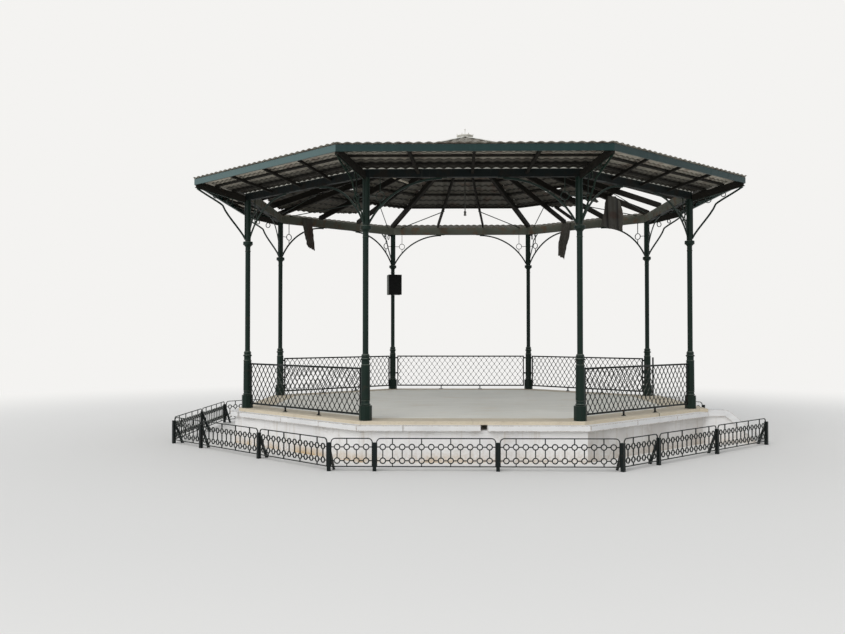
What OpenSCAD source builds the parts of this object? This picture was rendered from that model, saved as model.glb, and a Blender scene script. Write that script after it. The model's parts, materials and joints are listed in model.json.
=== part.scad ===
// Eight-sided park bandstand: masonry plinth, iron columns, corrugated roof with a rising canopy.
// Origin at the centre of the plinth on the ground, +Y to the rear, +X to the stair, millimetres.

/* [Plan] */
// Radius of the circle through the column centres
column_ring_r = 3660; // [3400:10:3900]

/* [Plinth] */
// Distance from the centre to the face of the plinth wall
wall_apothem = 3550; // [3540:5:3800]
// Height of the plinth wall
wall_h = 410; // [300:5:600]
// How far the coping stands out from the wall
coping_overhang = 70; // [20:5:120]
// Thickness of the coping stones
coping_h = 70; // [50:5:120]
// Width of the coping stones, front to back
coping_w = 420; // [300:10:450]
// Thickness of the border slabs that lie on the coping
border_h = 45; // [30:1:80]
// How far the border stands back from the edge of the coping
border_setback = 120; // [60:5:130]
// Width of the border slabs
border_w = 430; // [400:10:600]
// Width of a tight joint between stones
stone_joint = 5; // [3:1:12]
// Width of the broken joint at the front
broken_joint = 90; // [20:5:140]

/* [Stair] */
// Depth of one tread
tread = 300; // [240:5:360]
// Thickness of the stair walls
flank_t = 180; // [140:5:240]
// Length of the stair walls along the ground
flank_run = 984; // [900:5:1100]
// Thickness of the band on the stair walls
flank_band_h = 100; // [60:5:140]
// Width of the band on the stair walls
flank_band_w = 250; // [240:5:300]
// How far the band of a stair wall stands above the plinth coping
flank_rise = 30; // [0:5:60]
// Slope of the stair walls, in degrees
flank_slope = 40; // [35:1:50]

/* [Columns] */
// Height of a column from the deck to the top of its abacus
column_h = 2551; // [2300:5:2900]
// Width across the flats of the octagonal foot block
foot_w = 158; // [140:1:200]
// Height of the foot block
foot_h = 195; // [150:5:300]
// Diameter of the lower body
body_d = 122; // [100:1:134]
// Height of the top ring of the lower body above the deck
body_h = 840; // [760:5:950]
// Diameter of the slender upper shaft
shaft_d = 77; // [60:1:90]
// Diameter of the abacus
abacus_d = 147; // [130:1:180]
// Thickness of the abacus
abacus_h = 51; // [30:1:70]
// Diameter of the post above the abacus
post_d = 86; // [70:1:90]
// Height of the post from the abacus to the ring beam
post_h = 634; // [560:1:700]

/* [Ring beam] */
// Height of the ring beam
beam_h = 144; // [120:1:160]
// Width of the ring beam
beam_w = 80; // [70:1:110]

/* [Brackets] */
// Thickness of the bracket bars
bracket_t = 12; // [8:1:16]
// Depth of the curved bars
bracket_bar = 27; // [20:1:36]
// Reach of the arched arms from the column axis
arm_run = 1000; // [800:10:1150]
// Height at which the arched arms leave the post, above the abacus
arm_foot = 33; // [32:1:60]
// Outer diameter of the scroll ring in the arched arms
scroll_d = 120; // [90:1:150]

/* [Inner roof] */
// Rise of the inner roof for one unit of run
roof_pitch = 0.302; // [0.25:0.005:0.4]
// Depth of rafters and hips
rafter_d = 100; // [80:1:120]
// Width of a rafter
rafter_w = 26; // [20:1:44]
// Width of a hip
hip_w = 60; // [50:1:64]
// Where the rafters stand on the ring beam, from the middle of a side
rafter_at = 467; // [420:1:520]
// Depth of a purlin
purlin_d = 20; // [15:1:60]
// Width of a purlin
purlin_w = 45; // [30:1:60]
// Distance between purlins
purlin_step = 560; // [500:10:640]
// Distance from the centre to the lower edge of the inner sheets
sheet_edge = 2700; // [2400:10:2900]
// Radius of the crown drum that takes the rafters
crown_r = 230; // [225:1:280]
// Where a brace leaves the ring beam, from the middle of a side
brace_at = 1220; // [1100:10:1260]
// Distance from the centre to where a brace meets its rafter
brace_in = 2570; // [2400:10:2700]
// Width and depth of a brace
brace_d = 12; // [8:1:16]

/* [Roof cap] */
// Radius to the corners of the foot of the cap
cap_foot_r = 118; // [110:1:130]
// Radius to the corners of the rim of the cap
cap_rim_r = 150; // [140:1:170]
// Height of the cap
cap_h = 40; // [30:1:60]
// How far the turned-up corners stand above the rim
cap_tip = 22; // [10:1:40]
// Height of the spike above the cap
spike_h = 117; // [80:1:150]
// Diameter of the spike
spike_d = 12; // [8:1:20]
// Diameter of the ball on the spike
spike_ball = 28; // [20:1:40]

/* [Corrugated sheets] */
// Distance between corrugations
wave_pitch = 125; // [100:5:150]
// Height of a corrugation
wave_h = 20; // [12:1:30]
// Thickness of the sheet
sheet_t = 3; // [2:0.5:5]
// Width of one leg of a hip capping
capping_w = 55; // [40:1:60]
// Thickness of a hip capping
capping_t = 3; // [2:0.5:5]

/* [Canopy] */
// How far the canopy reaches out from the column circle, at the side
canopy_reach = 749; // [600:5:900]
// Rise of the canopy for one unit of run
canopy_pitch = 0.275; // [0.2:0.005:0.3]
// Height of the foot of the canopy sheets above the underside of the ring beam
canopy_foot = 90; // [80:1:110]
// Space between the canopy sheets and the ring beam
canopy_gap = 12; // [6:1:20]
// Depth of the canopy rafters
eave_rafter_d = 36; // [25:1:60]
// Width of the canopy rafters
eave_rafter_w = 38; // [30:1:50]
// Where the outer canopy rafters stand on the ring beam, from the middle of a side
eave_rafter_at = 700; // [620:5:760]
// Where the outer canopy rafters meet the fascia, from the middle of a side
eave_rafter_end = 830; // [760:5:900]
// Depth of the battens under the canopy sheets
batten_d = 18; // [12:1:30]
// Width of the battens
batten_w = 36; // [25:1:50]
// Distance between the battens
batten_step = 237; // [215:1:250]
// Depth of the canopy hips
eave_hip_d = 100; // [60:1:120]
// Width of the canopy hips
eave_hip_w = 45; // [30:1:60]
// Height of the fascia boards
fascia_h = 86; // [60:1:120]
// Thickness of the fascia boards
fascia_t = 22; // [16:1:30]
// How far the canopy sheets pass the fascia
sheet_overhang = 20; // [5:1:40]

/* [Deck railings] */
// Height of the railing above the deck
railing_h = 687; // [600:1:800]
// Height of the bottom rail above the deck
railing_foot = 62; // [50:1:100]
// Height of the rails
rail_bar = 14; // [10:1:24]
// Width of the hand rail on top
hand_rail_w = 34; // [24:1:50]
// Width of one diamond of the lattice, before it is fitted to the side
diamond_w = 106; // [90:1:130]
// Number of whole diamonds in the height
diamond_rows = 4; // [3:1:5]
// Width of a lattice bar
lattice_bar = 9; // [7:1:12]
// Thickness of the lattice
lattice_t = 10; // [8:1:14]
// Space between a column foot and the railing
railing_gap = 8; // [4:1:30]

/* [Low fence] */
// Distance from the centre to the front fence
fence_y = 4270; // [4150:10:4600]
// Space between the stair walls and the end posts of the fence
fence_stair_gap = 92; // [60:1:120]
// Half the length of the front fence
fence_front_half = 1770; // [1740:10:1860]
// Height of a fence panel above the ground
fence_h = 400; // [370:5:450]
// Gap under the bottom rail
fence_lift = 50; // [30:5:70]
// Thickness of a fence bar
fence_bar = 12; // [9:1:14]
// Width and depth of a fence post
fence_post_w = 44; // [30:1:50]
// Height of a fence post
fence_post_h = 345; // [320:5:370]
// Outer diameter of a fence ring
ring_d = 79; // [70:1:90]
// Width of the band of a fence ring
ring_band = 13; // [9:1:16]
// Distance between fence rings
ring_pitch = 117; // [112:1:119]
// Distance between the two rows of rings
ring_rows = 165; // [150:1:180]
// Height of the lower row of rings
ring_low = 126; // [115:1:135]
// How far the foot of a fence strut stands inside the fence
strut_reach = 150; // [100:5:200]

/* [Loose sheets] */
// Place of the right strip along the ring beam, from the middle of its side
right_strip_at = 460; // [300:10:600]
// Length of the right strip
right_strip_length = 700; // [500:10:800]
// Width of the right strip at its foot
right_strip_foot = 150; // [60:5:200]
// Place of the left strip along the ring beam, from the middle of its side
left_strip_at = 820; // [700:10:900]
// Length of the left strip
left_strip_length = 610; // [500:10:800]
// Width of the left strip at its foot
left_strip_foot = 60; // [40:5:200]
// Width of the strips at the ring beam
strip_top_w = 235; // [180:5:260]
// Distance from the centre to the middle of the broad sheet on the right rear hip
hip_sheet_at = 2920; // [2850:10:3000]
// Length of the broad sheet
hip_sheet_length = 610; // [500:10:700]
// Width of the broad sheet at the hip
hip_sheet_top_w = 200; // [150:5:260]
// Width of the broad sheet at its foot
hip_sheet_foot = 340; // [250:5:380]

/* [Fittings] */
// Width of the loudspeaker cabinet
speaker_w = 270; // [200:5:320]
// Height of the loudspeaker cabinet
speaker_h = 410; // [320:5:480]
// Depth of the loudspeaker cabinet
speaker_d = 230; // [160:5:280]
// Height of the underside of the cabinet above the deck
speaker_z = 1935; // [1400:5:2000]
// Diameter of the lamp rod
lamp_rod_d = 18; // [12:1:26]
// Height of the lamp holder above the deck
lamp_z = 3130; // [2600:10:3400]

/* [Hidden] */
$fn = 48;

half_turn = 22.5;
side_turn = 45;
side_tan = tan(half_turn);
side_cos = cos(half_turn);
// Space left between pieces that seat on each other
seat = 0.3;
// Space left at the mitres between like pieces
mitre_gap = 1;

// Places of the eight columns and sides, counted anticlockwise from the right
col_right_rear = 0;
col_rear_right = 1;
col_rear_left = 2;
col_left_rear = 3;
col_left_front = 4;
col_front_left = 5;
col_front_right = 6;
col_right_front = 7;
side_right = 0;
side_rear_right = 1;
side_rear = 2;
side_rear_left = 3;
side_front_left = 5;
side_front = 6;
side_front_right = 7;

// Levels
coping_top = wall_h + coping_h;
deck_z = coping_top + border_h;
abacus_top = deck_z + column_h;
beam_bottom = abacus_top + post_h;
beam_top = beam_bottom + beam_h;
// Taller than the whole bandstand, for cutters
tall = 2 * beam_top;

// Apothems
ring_apothem = column_ring_r * side_cos;
side_len = 2 * column_ring_r * sin(half_turn);
coping_out = wall_apothem + coping_overhang;
coping_in = coping_out - coping_w;
border_out = coping_out - border_setback;
border_in = border_out - border_w;
beam_out = ring_apothem + beam_w / 2;
beam_in = ring_apothem - beam_w / 2;
eave_out = ring_apothem + canopy_reach;
eave_in = eave_out - fascia_t;

// Heights of the roof planes at a distance a from the centre, measured square to a side
function rafter_bottom(a) = beam_top + roof_pitch * (beam_in - a);
function rafter_top(a) = rafter_bottom(a) + rafter_d;
function purlin_top(a) = rafter_top(a) + purlin_d;
roof_angle = atan(roof_pitch);
function sheet_crest(a) = purlin_top(a) + seat + (wave_h + sheet_t) / cos(roof_angle);
hip_pitch = roof_pitch * side_cos;
hip_drop = hip_w / 2 * roof_pitch * sin(half_turn);
function batten_top(a) = beam_bottom + canopy_foot + canopy_pitch * (a - beam_out);
function eave_rafter_top(a) = batten_top(a) - batten_d;
function eave_rafter_bottom(a) = eave_rafter_top(a) - eave_rafter_d;
canopy_angle = atan(canopy_pitch);
eave_hip_drop = eave_hip_w / 2 * canopy_pitch * sin(half_turn);
function eave_hip_bottom(a) = eave_rafter_top(a) - eave_hip_drop - eave_hip_d;

// Plan outlines
function side_plan(a0, a1, gap = mitre_gap) = [
    [a0, -a0 * side_tan + gap], [a1, -a1 * side_tan + gap],
    [a1, a1 * side_tan - gap], [a0, a0 * side_tan - gap]
];
function stone_plan(a0, a1, from, to) = [
    [a0, is_undef(from) ? -a0 * side_tan + stone_joint / 2 : from],
    [a1, is_undef(from) ? -a1 * side_tan + stone_joint / 2 : from],
    [a1, is_undef(to) ? a1 * side_tan - stone_joint / 2 : to],
    [a0, is_undef(to) ? a0 * side_tan - stone_joint / 2 : to]
];
function arc(centre, r, from, to, n) = [
    for (i = [0:n]) centre + r * [cos(from + (to - from) * i / n), sin(from + (to - from) * i / n)]
];

module octagon(apothem) {
    rotate(half_turn) circle(r = apothem / side_cos, $fn = 8);
}

module at_side(k) {
    rotate([0, 0, k * side_turn]) children();
}

module at_column(k) {
    rotate([0, 0, half_turn + k * side_turn]) translate([column_ring_r, 0, 0]) children();
}

// Stands a flat outline upright along +X, centred on Y
module upright(thickness) {
    rotate([90, 0, 0]) translate([0, 0, -thickness / 2]) linear_extrude(thickness) children();
}

// A layer that follows a roof plane over one side, given its heights at both ends
module side_layer(a0, a1, bottom0, bottom1, depth) {
    half = a1 * side_tan;
    translate([0, half, 0]) rotate([90, 0, 0]) linear_extrude(2 * half)
        polygon([[a0, bottom0], [a1, bottom1], [a1, bottom1 + depth], [a0, bottom0 + depth]]);
}

module plinth_wall() {
    color("#c9c4ba") linear_extrude(wall_h) octagon(wall_apothem);
}

// Joints of the coping on each side: place along the side and width
coping_joints = [
    [[-600, stone_joint], [600, stone_joint]],
    [[-480, stone_joint], [520, stone_joint]],
    [[-520, stone_joint], [470, stone_joint]],
    [[-450, stone_joint], [560, stone_joint]],
    [[-500, stone_joint], [500, stone_joint]],
    [[-1270, broken_joint / 2], [-180, stone_joint], [700, stone_joint]],
    [[-900, stone_joint], [140, broken_joint]],
    [[-420, stone_joint], [610, stone_joint]]
];

module plinth_coping() {
    color("#eeeae2") translate([0, 0, wall_h]) linear_extrude(coping_h)
        for (k = [0:7]) at_side(k) {
            joints = coping_joints[k];
            last = len(joints);
            for (i = [0:last]) polygon(stone_plan(
                coping_in, coping_out,
                i == 0 ? undef : joints[i - 1][0] + joints[i - 1][1] / 2,
                i == last ? undef : joints[i][0] - joints[i][1] / 2
            ));
        }
}

module deck_slab() {
    color("#b4b3a8") {
        translate([0, 0, wall_h]) linear_extrude(coping_h) octagon(coping_in - stone_joint);
        translate([0, 0, coping_top]) linear_extrude(border_h) octagon(border_in - stone_joint);
    }
}

module deck_border() {
    color("#c2b49a") translate([0, 0, coping_top]) linear_extrude(border_h)
        for (k = [0:7]) at_side(k) {
            outer = k == side_right ? coping_out : border_out;
            polygon(stone_plan(border_in, outer, undef, -stone_joint / 2));
            polygon(stone_plan(border_in, outer, stone_joint / 2, undef));
        }
}

// Stair on the right side
riser = deck_z / 3;
flank_out = wall_apothem * side_tan - (flank_band_w - flank_t) / 2;
flank_in = flank_out - flank_t;
step_gap = 2;

module step_block(index, run) {
    translate([wall_apothem + seat, -flank_in + step_gap, index * riser])
        cube([run, 2 * (flank_in - step_gap), riser]);
}

module stair_step_lower() {
    color("#bdb8ae") step_block(0, 2 * tread);
}

module stair_step_upper() {
    color("#bdb8ae") step_block(1, tread);
}

flank_top = coping_top + flank_rise;
flank_foot = wall_apothem + flank_run;
flank_bend = flank_foot - flank_top / tan(flank_slope);
// Underside of the band, parallel to its top
band_bottom = flank_top - flank_band_h;
band_bend = flank_bend - flank_band_h * tan(flank_slope / 2);
band_foot = flank_foot - flank_band_h / sin(flank_slope);

module both_flanks(from, to) {
    for (side = [0, 1]) mirror([0, side, 0]) translate([0, to, 0]) rotate([90, 0, 0])
        linear_extrude(to - from) children();
}

module stair_flanks() {
    // The wall passes under the plinth coping, and past it rises to the band
    low = min(band_bottom, wall_h);
    color("#bdb8ae") both_flanks(flank_in, flank_out) {
        polygon([
            [wall_apothem + seat, 0], [band_foot, 0],
            [band_foot - low / tan(flank_slope), low], [wall_apothem + seat, low]
        ]);
        polygon([
            [coping_out + seat, 0], [band_foot, 0], [band_bend, band_bottom], [coping_out + seat, band_bottom]
        ]);
    }
}

shoulder_r = 220;

module stair_flank_bands() {
    middle = (flank_in + flank_out) / 2;
    shoulder = [flank_bend - shoulder_r * tan(flank_slope / 2), flank_top - shoulder_r];
    color("#eeeae2") both_flanks(middle - flank_band_w / 2, middle + flank_band_w / 2) polygon(concat(
        [[coping_out + seat, flank_top]],
        arc(shoulder, shoulder_r, 90, 90 - flank_slope, 6),
        [[flank_foot, 0], [band_foot, 0], [band_bend, band_bottom], [coping_out + seat, band_bottom]]
    ));
}

// Turned outline of a column, from the deck up: half outline as radius and height
neck_d = 115;
waist_h = 75;
astragal_h = 150;
taper_h = 30;
function bead(r, z, bulge) = [for (p = arc([0, 0], bulge, -90, 90, 6)) [r + p[0], z + p[1]]];
column_outline = concat(
    [[0, foot_h - 1], [body_d / 2 - 2, foot_h - 1]],
    bead(body_d / 2 - 2, foot_h + 15, 8),
    bead(body_d / 2 - 6, foot_h + 60, 7),
    [[body_d / 2, foot_h + waist_h], [body_d / 2 - 2, body_h - 127]],
    bead(body_d / 2 - 3, body_h - 118, 5),
    [[body_d / 2 - 8, body_h - 105], [body_d / 2 - 8, body_h - 62]],
    bead(body_d / 2 - 8, body_h - 40, 14),
    bead(neck_d / 2 - 5, body_h, 6),
    arc([shaft_d / 2 - 2, body_h + 12], 16, 0, 80, 4),
    [[shaft_d / 2, body_h + 60], [shaft_d / 2, column_h - astragal_h - 8]],
    bead(shaft_d / 2, column_h - astragal_h, 6),
    [
        [shaft_d / 2, column_h - astragal_h + 8],
        [shaft_d / 2, column_h - abacus_h - taper_h],
        [abacus_d / 2 - 12, column_h - abacus_h - 4],
        [abacus_d / 2, column_h - abacus_h],
        [abacus_d / 2, column_h - 6],
        [abacus_d / 2 - 6, column_h],
        [0, column_h]
    ]
);

module column(k) {
    color("#1b2f2c") at_column(k) {
        translate([0, 0, deck_z]) {
            linear_extrude(foot_h) octagon(foot_w / 2);
            rotate_extrude() polygon(column_outline);
        }
        translate([0, 0, abacus_top - 1]) cylinder(d = post_d, h = post_h + 1);
    }
}

module column_right_rear() column(col_right_rear);
module column_rear_right() column(col_rear_right);
module column_rear_left() column(col_rear_left);
module column_left_rear() column(col_left_rear);
module column_left_front() column(col_left_front);
module column_front_left() column(col_front_left);
module column_front_right() column(col_front_right);
module column_right_front() column(col_right_front);

// Flat ring outline
module flat_ring(centre, d, band) {
    translate(centre) difference() {
        circle(d = d, $fn = 32);
        circle(d = d - 2 * band, $fn = 32);
    }
}

// Bar between two points
module flat_bar(from, to, w) {
    run = to - from;
    translate(from) rotate(atan2(run[1], run[0])) translate([0, -w / 2]) square([norm(run), w]);
}

// Arched arm in the plane of the ring beam; x runs from the column axis, y up from the ground
strip_w = 10;
arm_start = post_d / 2 + seat;
// How far the crown of the arch lies inside the strip under the beam
arm_drop = 1;
arm_rise = post_h - arm_foot - arm_drop - bracket_bar / 2;
arm_r = ((arm_run - arm_start) ^ 2 + arm_rise ^ 2) / (2 * arm_rise);
arm_centre = [arm_run, beam_bottom - arm_drop - bracket_bar / 2 - arm_r];
arm_facets = 200;
scroll_x = 190;
scroll_z = beam_bottom - 245;
scroll_band = 11;

function arm_height(x) = arm_centre[1] + sqrt(arm_r ^ 2 - (arm_run - x) ^ 2);

module arched_arm() {
    intersection() {
        translate(arm_centre) difference() {
            circle(r = arm_r + bracket_bar / 2, $fn = arm_facets);
            circle(r = arm_r - bracket_bar / 2, $fn = arm_facets);
        }
        translate([arm_start, arm_centre[1]]) square([arm_run - arm_start, arm_r + bracket_bar]);
    }
    translate([arm_run - 80, beam_bottom - strip_w]) square([150, strip_w]);
    translate([arm_start, arm_height(arm_start)]) square([strip_w, beam_bottom - arm_height(arm_start)]);
    flat_ring([scroll_x, scroll_z], scroll_d, scroll_band);
    flat_bar([scroll_x, scroll_z + scroll_d / 2 - 5], [scroll_x, beam_bottom], strip_w);
    flat_bar([arm_start + 5, scroll_z], [scroll_x - scroll_d / 2 + 5, scroll_z], strip_w);
    flat_bar([scroll_x, scroll_z - scroll_d / 2 + 5], [scroll_x, arm_height(scroll_x)], strip_w);
}

// Canopy arm that runs outward under a hip; an S of two curves
canopy_mid = [385, 540];
canopy_end_x = eave_out / side_cos - column_ring_r - 40;

function bezier(a, b, c, d, n) = [
    for (i = [0:n]) let (t = i / n)
        (1 - t) ^ 3 * a + 3 * (1 - t) ^ 2 * t * b + 3 * (1 - t) * t ^ 2 * c + t ^ 3 * d
];
function unit(v) = v / norm(v);
function band(path, w) = let (
    last = len(path) - 1,
    normals = [for (i = [0:last]) let (d = unit(path[min(i + 1, last)] - path[max(i - 1, 0)])) [-d[1], d[0]]]
) concat(
    [for (i = [0:last]) path[i] + normals[i] * w / 2],
    [for (i = [last:-1:0]) path[i] - normals[i] * w / 2]
);
function hip_under(x) = eave_hip_bottom((column_ring_r + x) * side_cos);

module canopy_arm() {
    start = [arm_start - 5, abacus_top + 30];
    middle = [canopy_mid[0], abacus_top + canopy_mid[1]];
    end = [canopy_end_x, hip_under(canopy_end_x) - strip_w];
    difference() {
        polygon(band(concat(
            bezier(start, start + [60, 140], middle - [60, 160], middle, 7),
            [for (p = bezier(middle, middle + [70, 60], end - [180, 120], end, 7)) if (p != middle) p]
        ), bracket_bar));
        translate([arm_start - 100, abacus_top - 100]) square([100, post_h]);
    }
    first = beam_out / side_cos - column_ring_r + seat;
    translate([arm_start, abacus_top + 40])
        square([strip_w, min(beam_bottom, hip_under(first)) - abacus_top - 40]);
    polygon([
        [first, hip_under(first)], [canopy_end_x + 30, hip_under(canopy_end_x + 30)],
        [canopy_end_x + 30, hip_under(canopy_end_x + 30) - strip_w], [first, hip_under(first) - strip_w]
    ]);
    for (ring = [[275, 100], [495, 76]]) {
        flat_ring([ring[0], hip_under(ring[0]) - ring[1] / 2 - 2], ring[1], scroll_band);
    }
}

module bracket(k) {
    color("#1b2f2c") at_column(k) {
        for (turn = [-90 - half_turn, 90 + half_turn]) rotate([0, 0, turn]) upright(bracket_t) arched_arm();
        upright(bracket_t) canopy_arm();
    }
}

module bracket_right_rear() bracket(col_right_rear);
module bracket_rear_right() bracket(col_rear_right);
module bracket_rear_left() bracket(col_rear_left);
module bracket_left_rear() bracket(col_left_rear);
module bracket_left_front() bracket(col_left_front);
module bracket_front_left() bracket(col_front_left);
module bracket_front_right() bracket(col_front_right);
module bracket_right_front() bracket(col_right_front);

module ring_beam() {
    color("#22423f") translate([0, 0, beam_bottom]) linear_extrude(beam_h)
        for (k = [0:7]) at_side(k) polygon(side_plan(beam_in, beam_out));
}

// Inner roof frame
crown_lift = 5;
crown_h = rafter_d + purlin_d - crown_lift - 3;
frame_start = crown_r + seat;

module roof_hips() {
    last = beam_out / side_cos;
    in_corner = beam_in / side_cos;
    color("#4a443c") for (k = [0:7]) rotate([0, 0, half_turn + k * side_turn]) upright(hip_w) polygon([
        [frame_start, rafter_bottom(frame_start * side_cos)],
        [in_corner, beam_top], [last, beam_top],
        [last, rafter_top(last * side_cos) - hip_drop],
        [frame_start, rafter_top(frame_start * side_cos) - hip_drop]
    ]);
}

module roof_rafters() {
    lean = atan(rafter_at / ring_apothem);
    color("#4a443c") for (k = [0:7], turn = [-lean, lean]) at_side(k) intersection() {
        side_layer(0, beam_out, rafter_bottom(0), rafter_bottom(beam_out), rafter_d);
        rotate([0, 0, turn]) translate([frame_start, -rafter_w / 2, beam_top])
            cube([tall, rafter_w, tall]);
    }
}

// Thin bars under the rafters, from the ring beam near each corner
module roof_braces() {
    first = brace_in - 20;
    last = beam_in - seat;
    from = [brace_in, rafter_at * brace_in / ring_apothem];
    to = [beam_in, brace_at];
    past = 25 * unit(to - from);
    color("#4a443c") for (k = [0:7], side = [0, 1]) at_side(k) mirror([0, side, 0]) intersection() {
        side_layer(first, last, rafter_bottom(first) - brace_d, rafter_bottom(last) - brace_d, brace_d);
        linear_extrude(tall) flat_bar(from - past, to + past, brace_d);
    }
}

module roof_purlins() {
    first = sheet_edge - purlin_w / 2 - 20;
    color("#4a443c") for (k = [0:7], a = [first:-purlin_step:crown_r + purlin_step / 2]) at_side(k)
        intersection() {
            side_layer(a - purlin_w / 2, a + purlin_w / 2,
                rafter_top(a - purlin_w / 2), rafter_top(a + purlin_w / 2), purlin_d);
            linear_extrude(tall) polygon(side_plan(a - purlin_w / 2, a + purlin_w / 2));
        }
}

module roof_crown() {
    color("#4a443c") translate([0, 0, rafter_bottom(crown_r) + crown_lift])
        cylinder(r = crown_r, h = crown_h);
}

// One corrugated sheet laid from x = 0 outward, its valleys on the plane z = 0
module corrugated(length, half_width) {
    count = ceil(half_width / wave_pitch);
    wave = [
        for (i = [-count:count - 1], step = [[-1, 0], [1, 0], [5, 1], [7, 1]])
            [(i + step[0] / 12) * wave_pitch, step[1] * wave_h]
    ];
    rotate([90, 0, 90]) linear_extrude(length) polygon(concat(
        wave, [for (i = [len(wave) - 1:-1:0]) wave[i] + [0, sheet_t]]
    ));
}

sheets_in = 100;
// Height of the corrugation where the innermost sheets meet at the hips
inner_wave_h = wave_h * min(1, (sheets_in * side_tan - mitre_gap - wave_pitch / 12) / (wave_pitch / 3));

module roof_sheets() {
    color("#6b675f") for (k = [0:7]) at_side(k) intersection() {
        translate([0, 0, purlin_top(0) + seat]) rotate([0, roof_angle, 0])
            corrugated(sheet_edge / cos(roof_angle) + 50, sheet_edge * side_tan);
        linear_extrude(tall) polygon(side_plan(sheets_in, sheet_edge));
    }
}

module hip_cappings() {
    angle = atan(hip_pitch);
    drop = capping_w * roof_pitch * sin(half_turn) * cos(angle);
    first = capping_w / sin(half_turn) + 2;
    last = sheet_edge / side_cos;
    color("#e8e4da") for (k = [0:7]) rotate([0, 0, half_turn + k * side_turn])
        translate([first, 0, sheet_crest(first * side_cos) + seat]) rotate([0, angle, 0]) rotate([90, 0, 90])
            linear_extrude((last - first) / cos(angle)) polygon([
                [-capping_w, -drop], [0, 0], [capping_w, -drop],
                [capping_w, capping_t - drop], [0, capping_t], [-capping_w, capping_t - drop]
            ]);
}

// Flared cap on the innermost sheets, with a shallow dish on top
module roof_cap() {
    rim = 6;
    dish = 10;
    ear_t = 14;
    base = purlin_top(sheets_in) + 2 * seat + (inner_wave_h + sheet_t) / cos(roof_angle);
    color("#e8e4da") translate([0, 0, base]) {
        rotate(half_turn) rotate_extrude($fn = 8) polygon([
            [0, 0], [cap_foot_r, 0], [cap_rim_r, cap_h - rim], [cap_rim_r, cap_h],
            [cap_rim_r - 35, cap_h - dish], [0, cap_h - dish]
        ]);
        for (k = [0:7]) rotate([0, 0, half_turn + k * side_turn]) upright(ear_t) polygon([
            [cap_rim_r - 36, cap_h - dish - 1], [cap_rim_r - 3, cap_h - rim],
            [cap_rim_r, cap_h + cap_tip], [cap_rim_r - 14, cap_h + 4]
        ]);
        translate([0, 0, cap_h - dish - 1]) cylinder(d = spike_d, h = spike_h + 1);
        translate([0, 0, cap_h - dish + spike_h]) sphere(d = spike_ball);
    }
}

module canopy_rafters() {
    lean = atan((eave_rafter_end - eave_rafter_at) / (eave_in - ring_apothem));
    first = beam_out + seat;
    color("#5a544a") for (k = [0:7]) at_side(k) intersection() {
        side_layer(first, eave_in, eave_rafter_bottom(first), eave_rafter_bottom(eave_in), eave_rafter_d);
        for (place = [[-eave_rafter_at, -lean], [0, 0], [eave_rafter_at, lean]])
            translate([ring_apothem, place[0], beam_bottom]) rotate([0, 0, place[1]])
                translate([0, -eave_rafter_w / 2, 0]) cube([2 * canopy_reach, eave_rafter_w, tall]);
    }
}

module canopy_hips() {
    first = beam_out / side_cos + seat;
    last = eave_in / side_cos - seat;
    color("#5a544a") for (k = [0:7]) rotate([0, 0, half_turn + k * side_turn]) upright(eave_hip_w) polygon([
        [first, eave_hip_bottom(first * side_cos)], [last, eave_hip_bottom(last * side_cos)],
        [last, eave_hip_bottom(last * side_cos) + eave_hip_d],
        [first, eave_hip_bottom(first * side_cos) + eave_hip_d]
    ]);
}

module canopy_battens() {
    first = eave_in - batten_w / 2 - 20;
    color("#5a544a") for (k = [0:7], a = [first:-batten_step:beam_out + batten_w]) at_side(k) intersection() {
        side_layer(a - batten_w / 2, a + batten_w / 2,
            eave_rafter_top(a - batten_w / 2), eave_rafter_top(a + batten_w / 2), batten_d);
        linear_extrude(tall) polygon(side_plan(a - batten_w / 2, a + batten_w / 2));
    }
}

module canopy_sheets() {
    inner = beam_out + canopy_gap;
    outer = eave_out + sheet_overhang;
    color("#6b675f") for (k = [0:7]) at_side(k) intersection() {
        translate([beam_in, 0, batten_top(beam_in) + seat]) rotate([0, -canopy_angle, 0])
            corrugated((outer - beam_in) / cos(canopy_angle) + 20, outer * side_tan);
        linear_extrude(tall) polygon(side_plan(inner, outer));
    }
}

module canopy_fascia() {
    top = batten_top(eave_in);
    color("#2d5a55") translate([0, 0, top - fascia_h]) linear_extrude(fascia_h)
        for (k = [0:7]) at_side(k) polygon(side_plan(eave_in, eave_out));
}

// Deck railing of one side, drawn with x along the side and y up from the deck
foot_corner = foot_w / 2 / side_cos;
railing_half = side_len / 2 - foot_corner - railing_gap;
end_bar = 18;
lattice_h = railing_h - railing_foot - 2 * rail_bar;
lattice_half = railing_half - end_bar;
columns_of_diamonds = round(2 * lattice_half / diamond_w);
diamond_pitch = 2 * lattice_half / columns_of_diamonds;
diamond_tall = lattice_h / diamond_rows;
foot_at = 400;
lug_reach = side_len / 2 - body_d / 2 - seat;

// Six-sided opening between waved bars, which run side by side for a short way where they touch
belly = diamond_tall / 14;
function diamond_hole(cx, cz) = let (
    half = (diamond_pitch - lattice_bar) / 2,
    lean = (diamond_tall - 4 * belly) / diamond_pitch,
    rise = diamond_tall / 2 - belly - lattice_bar / 2 * sqrt(1 + lean ^ 2),
    corner = rise - lean * half
) [
    [cx, cz - rise], [cx + half, cz - corner], [cx + half, cz + corner],
    [cx, cz + rise], [cx - half, cz + corner], [cx - half, cz - corner]
];

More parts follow.
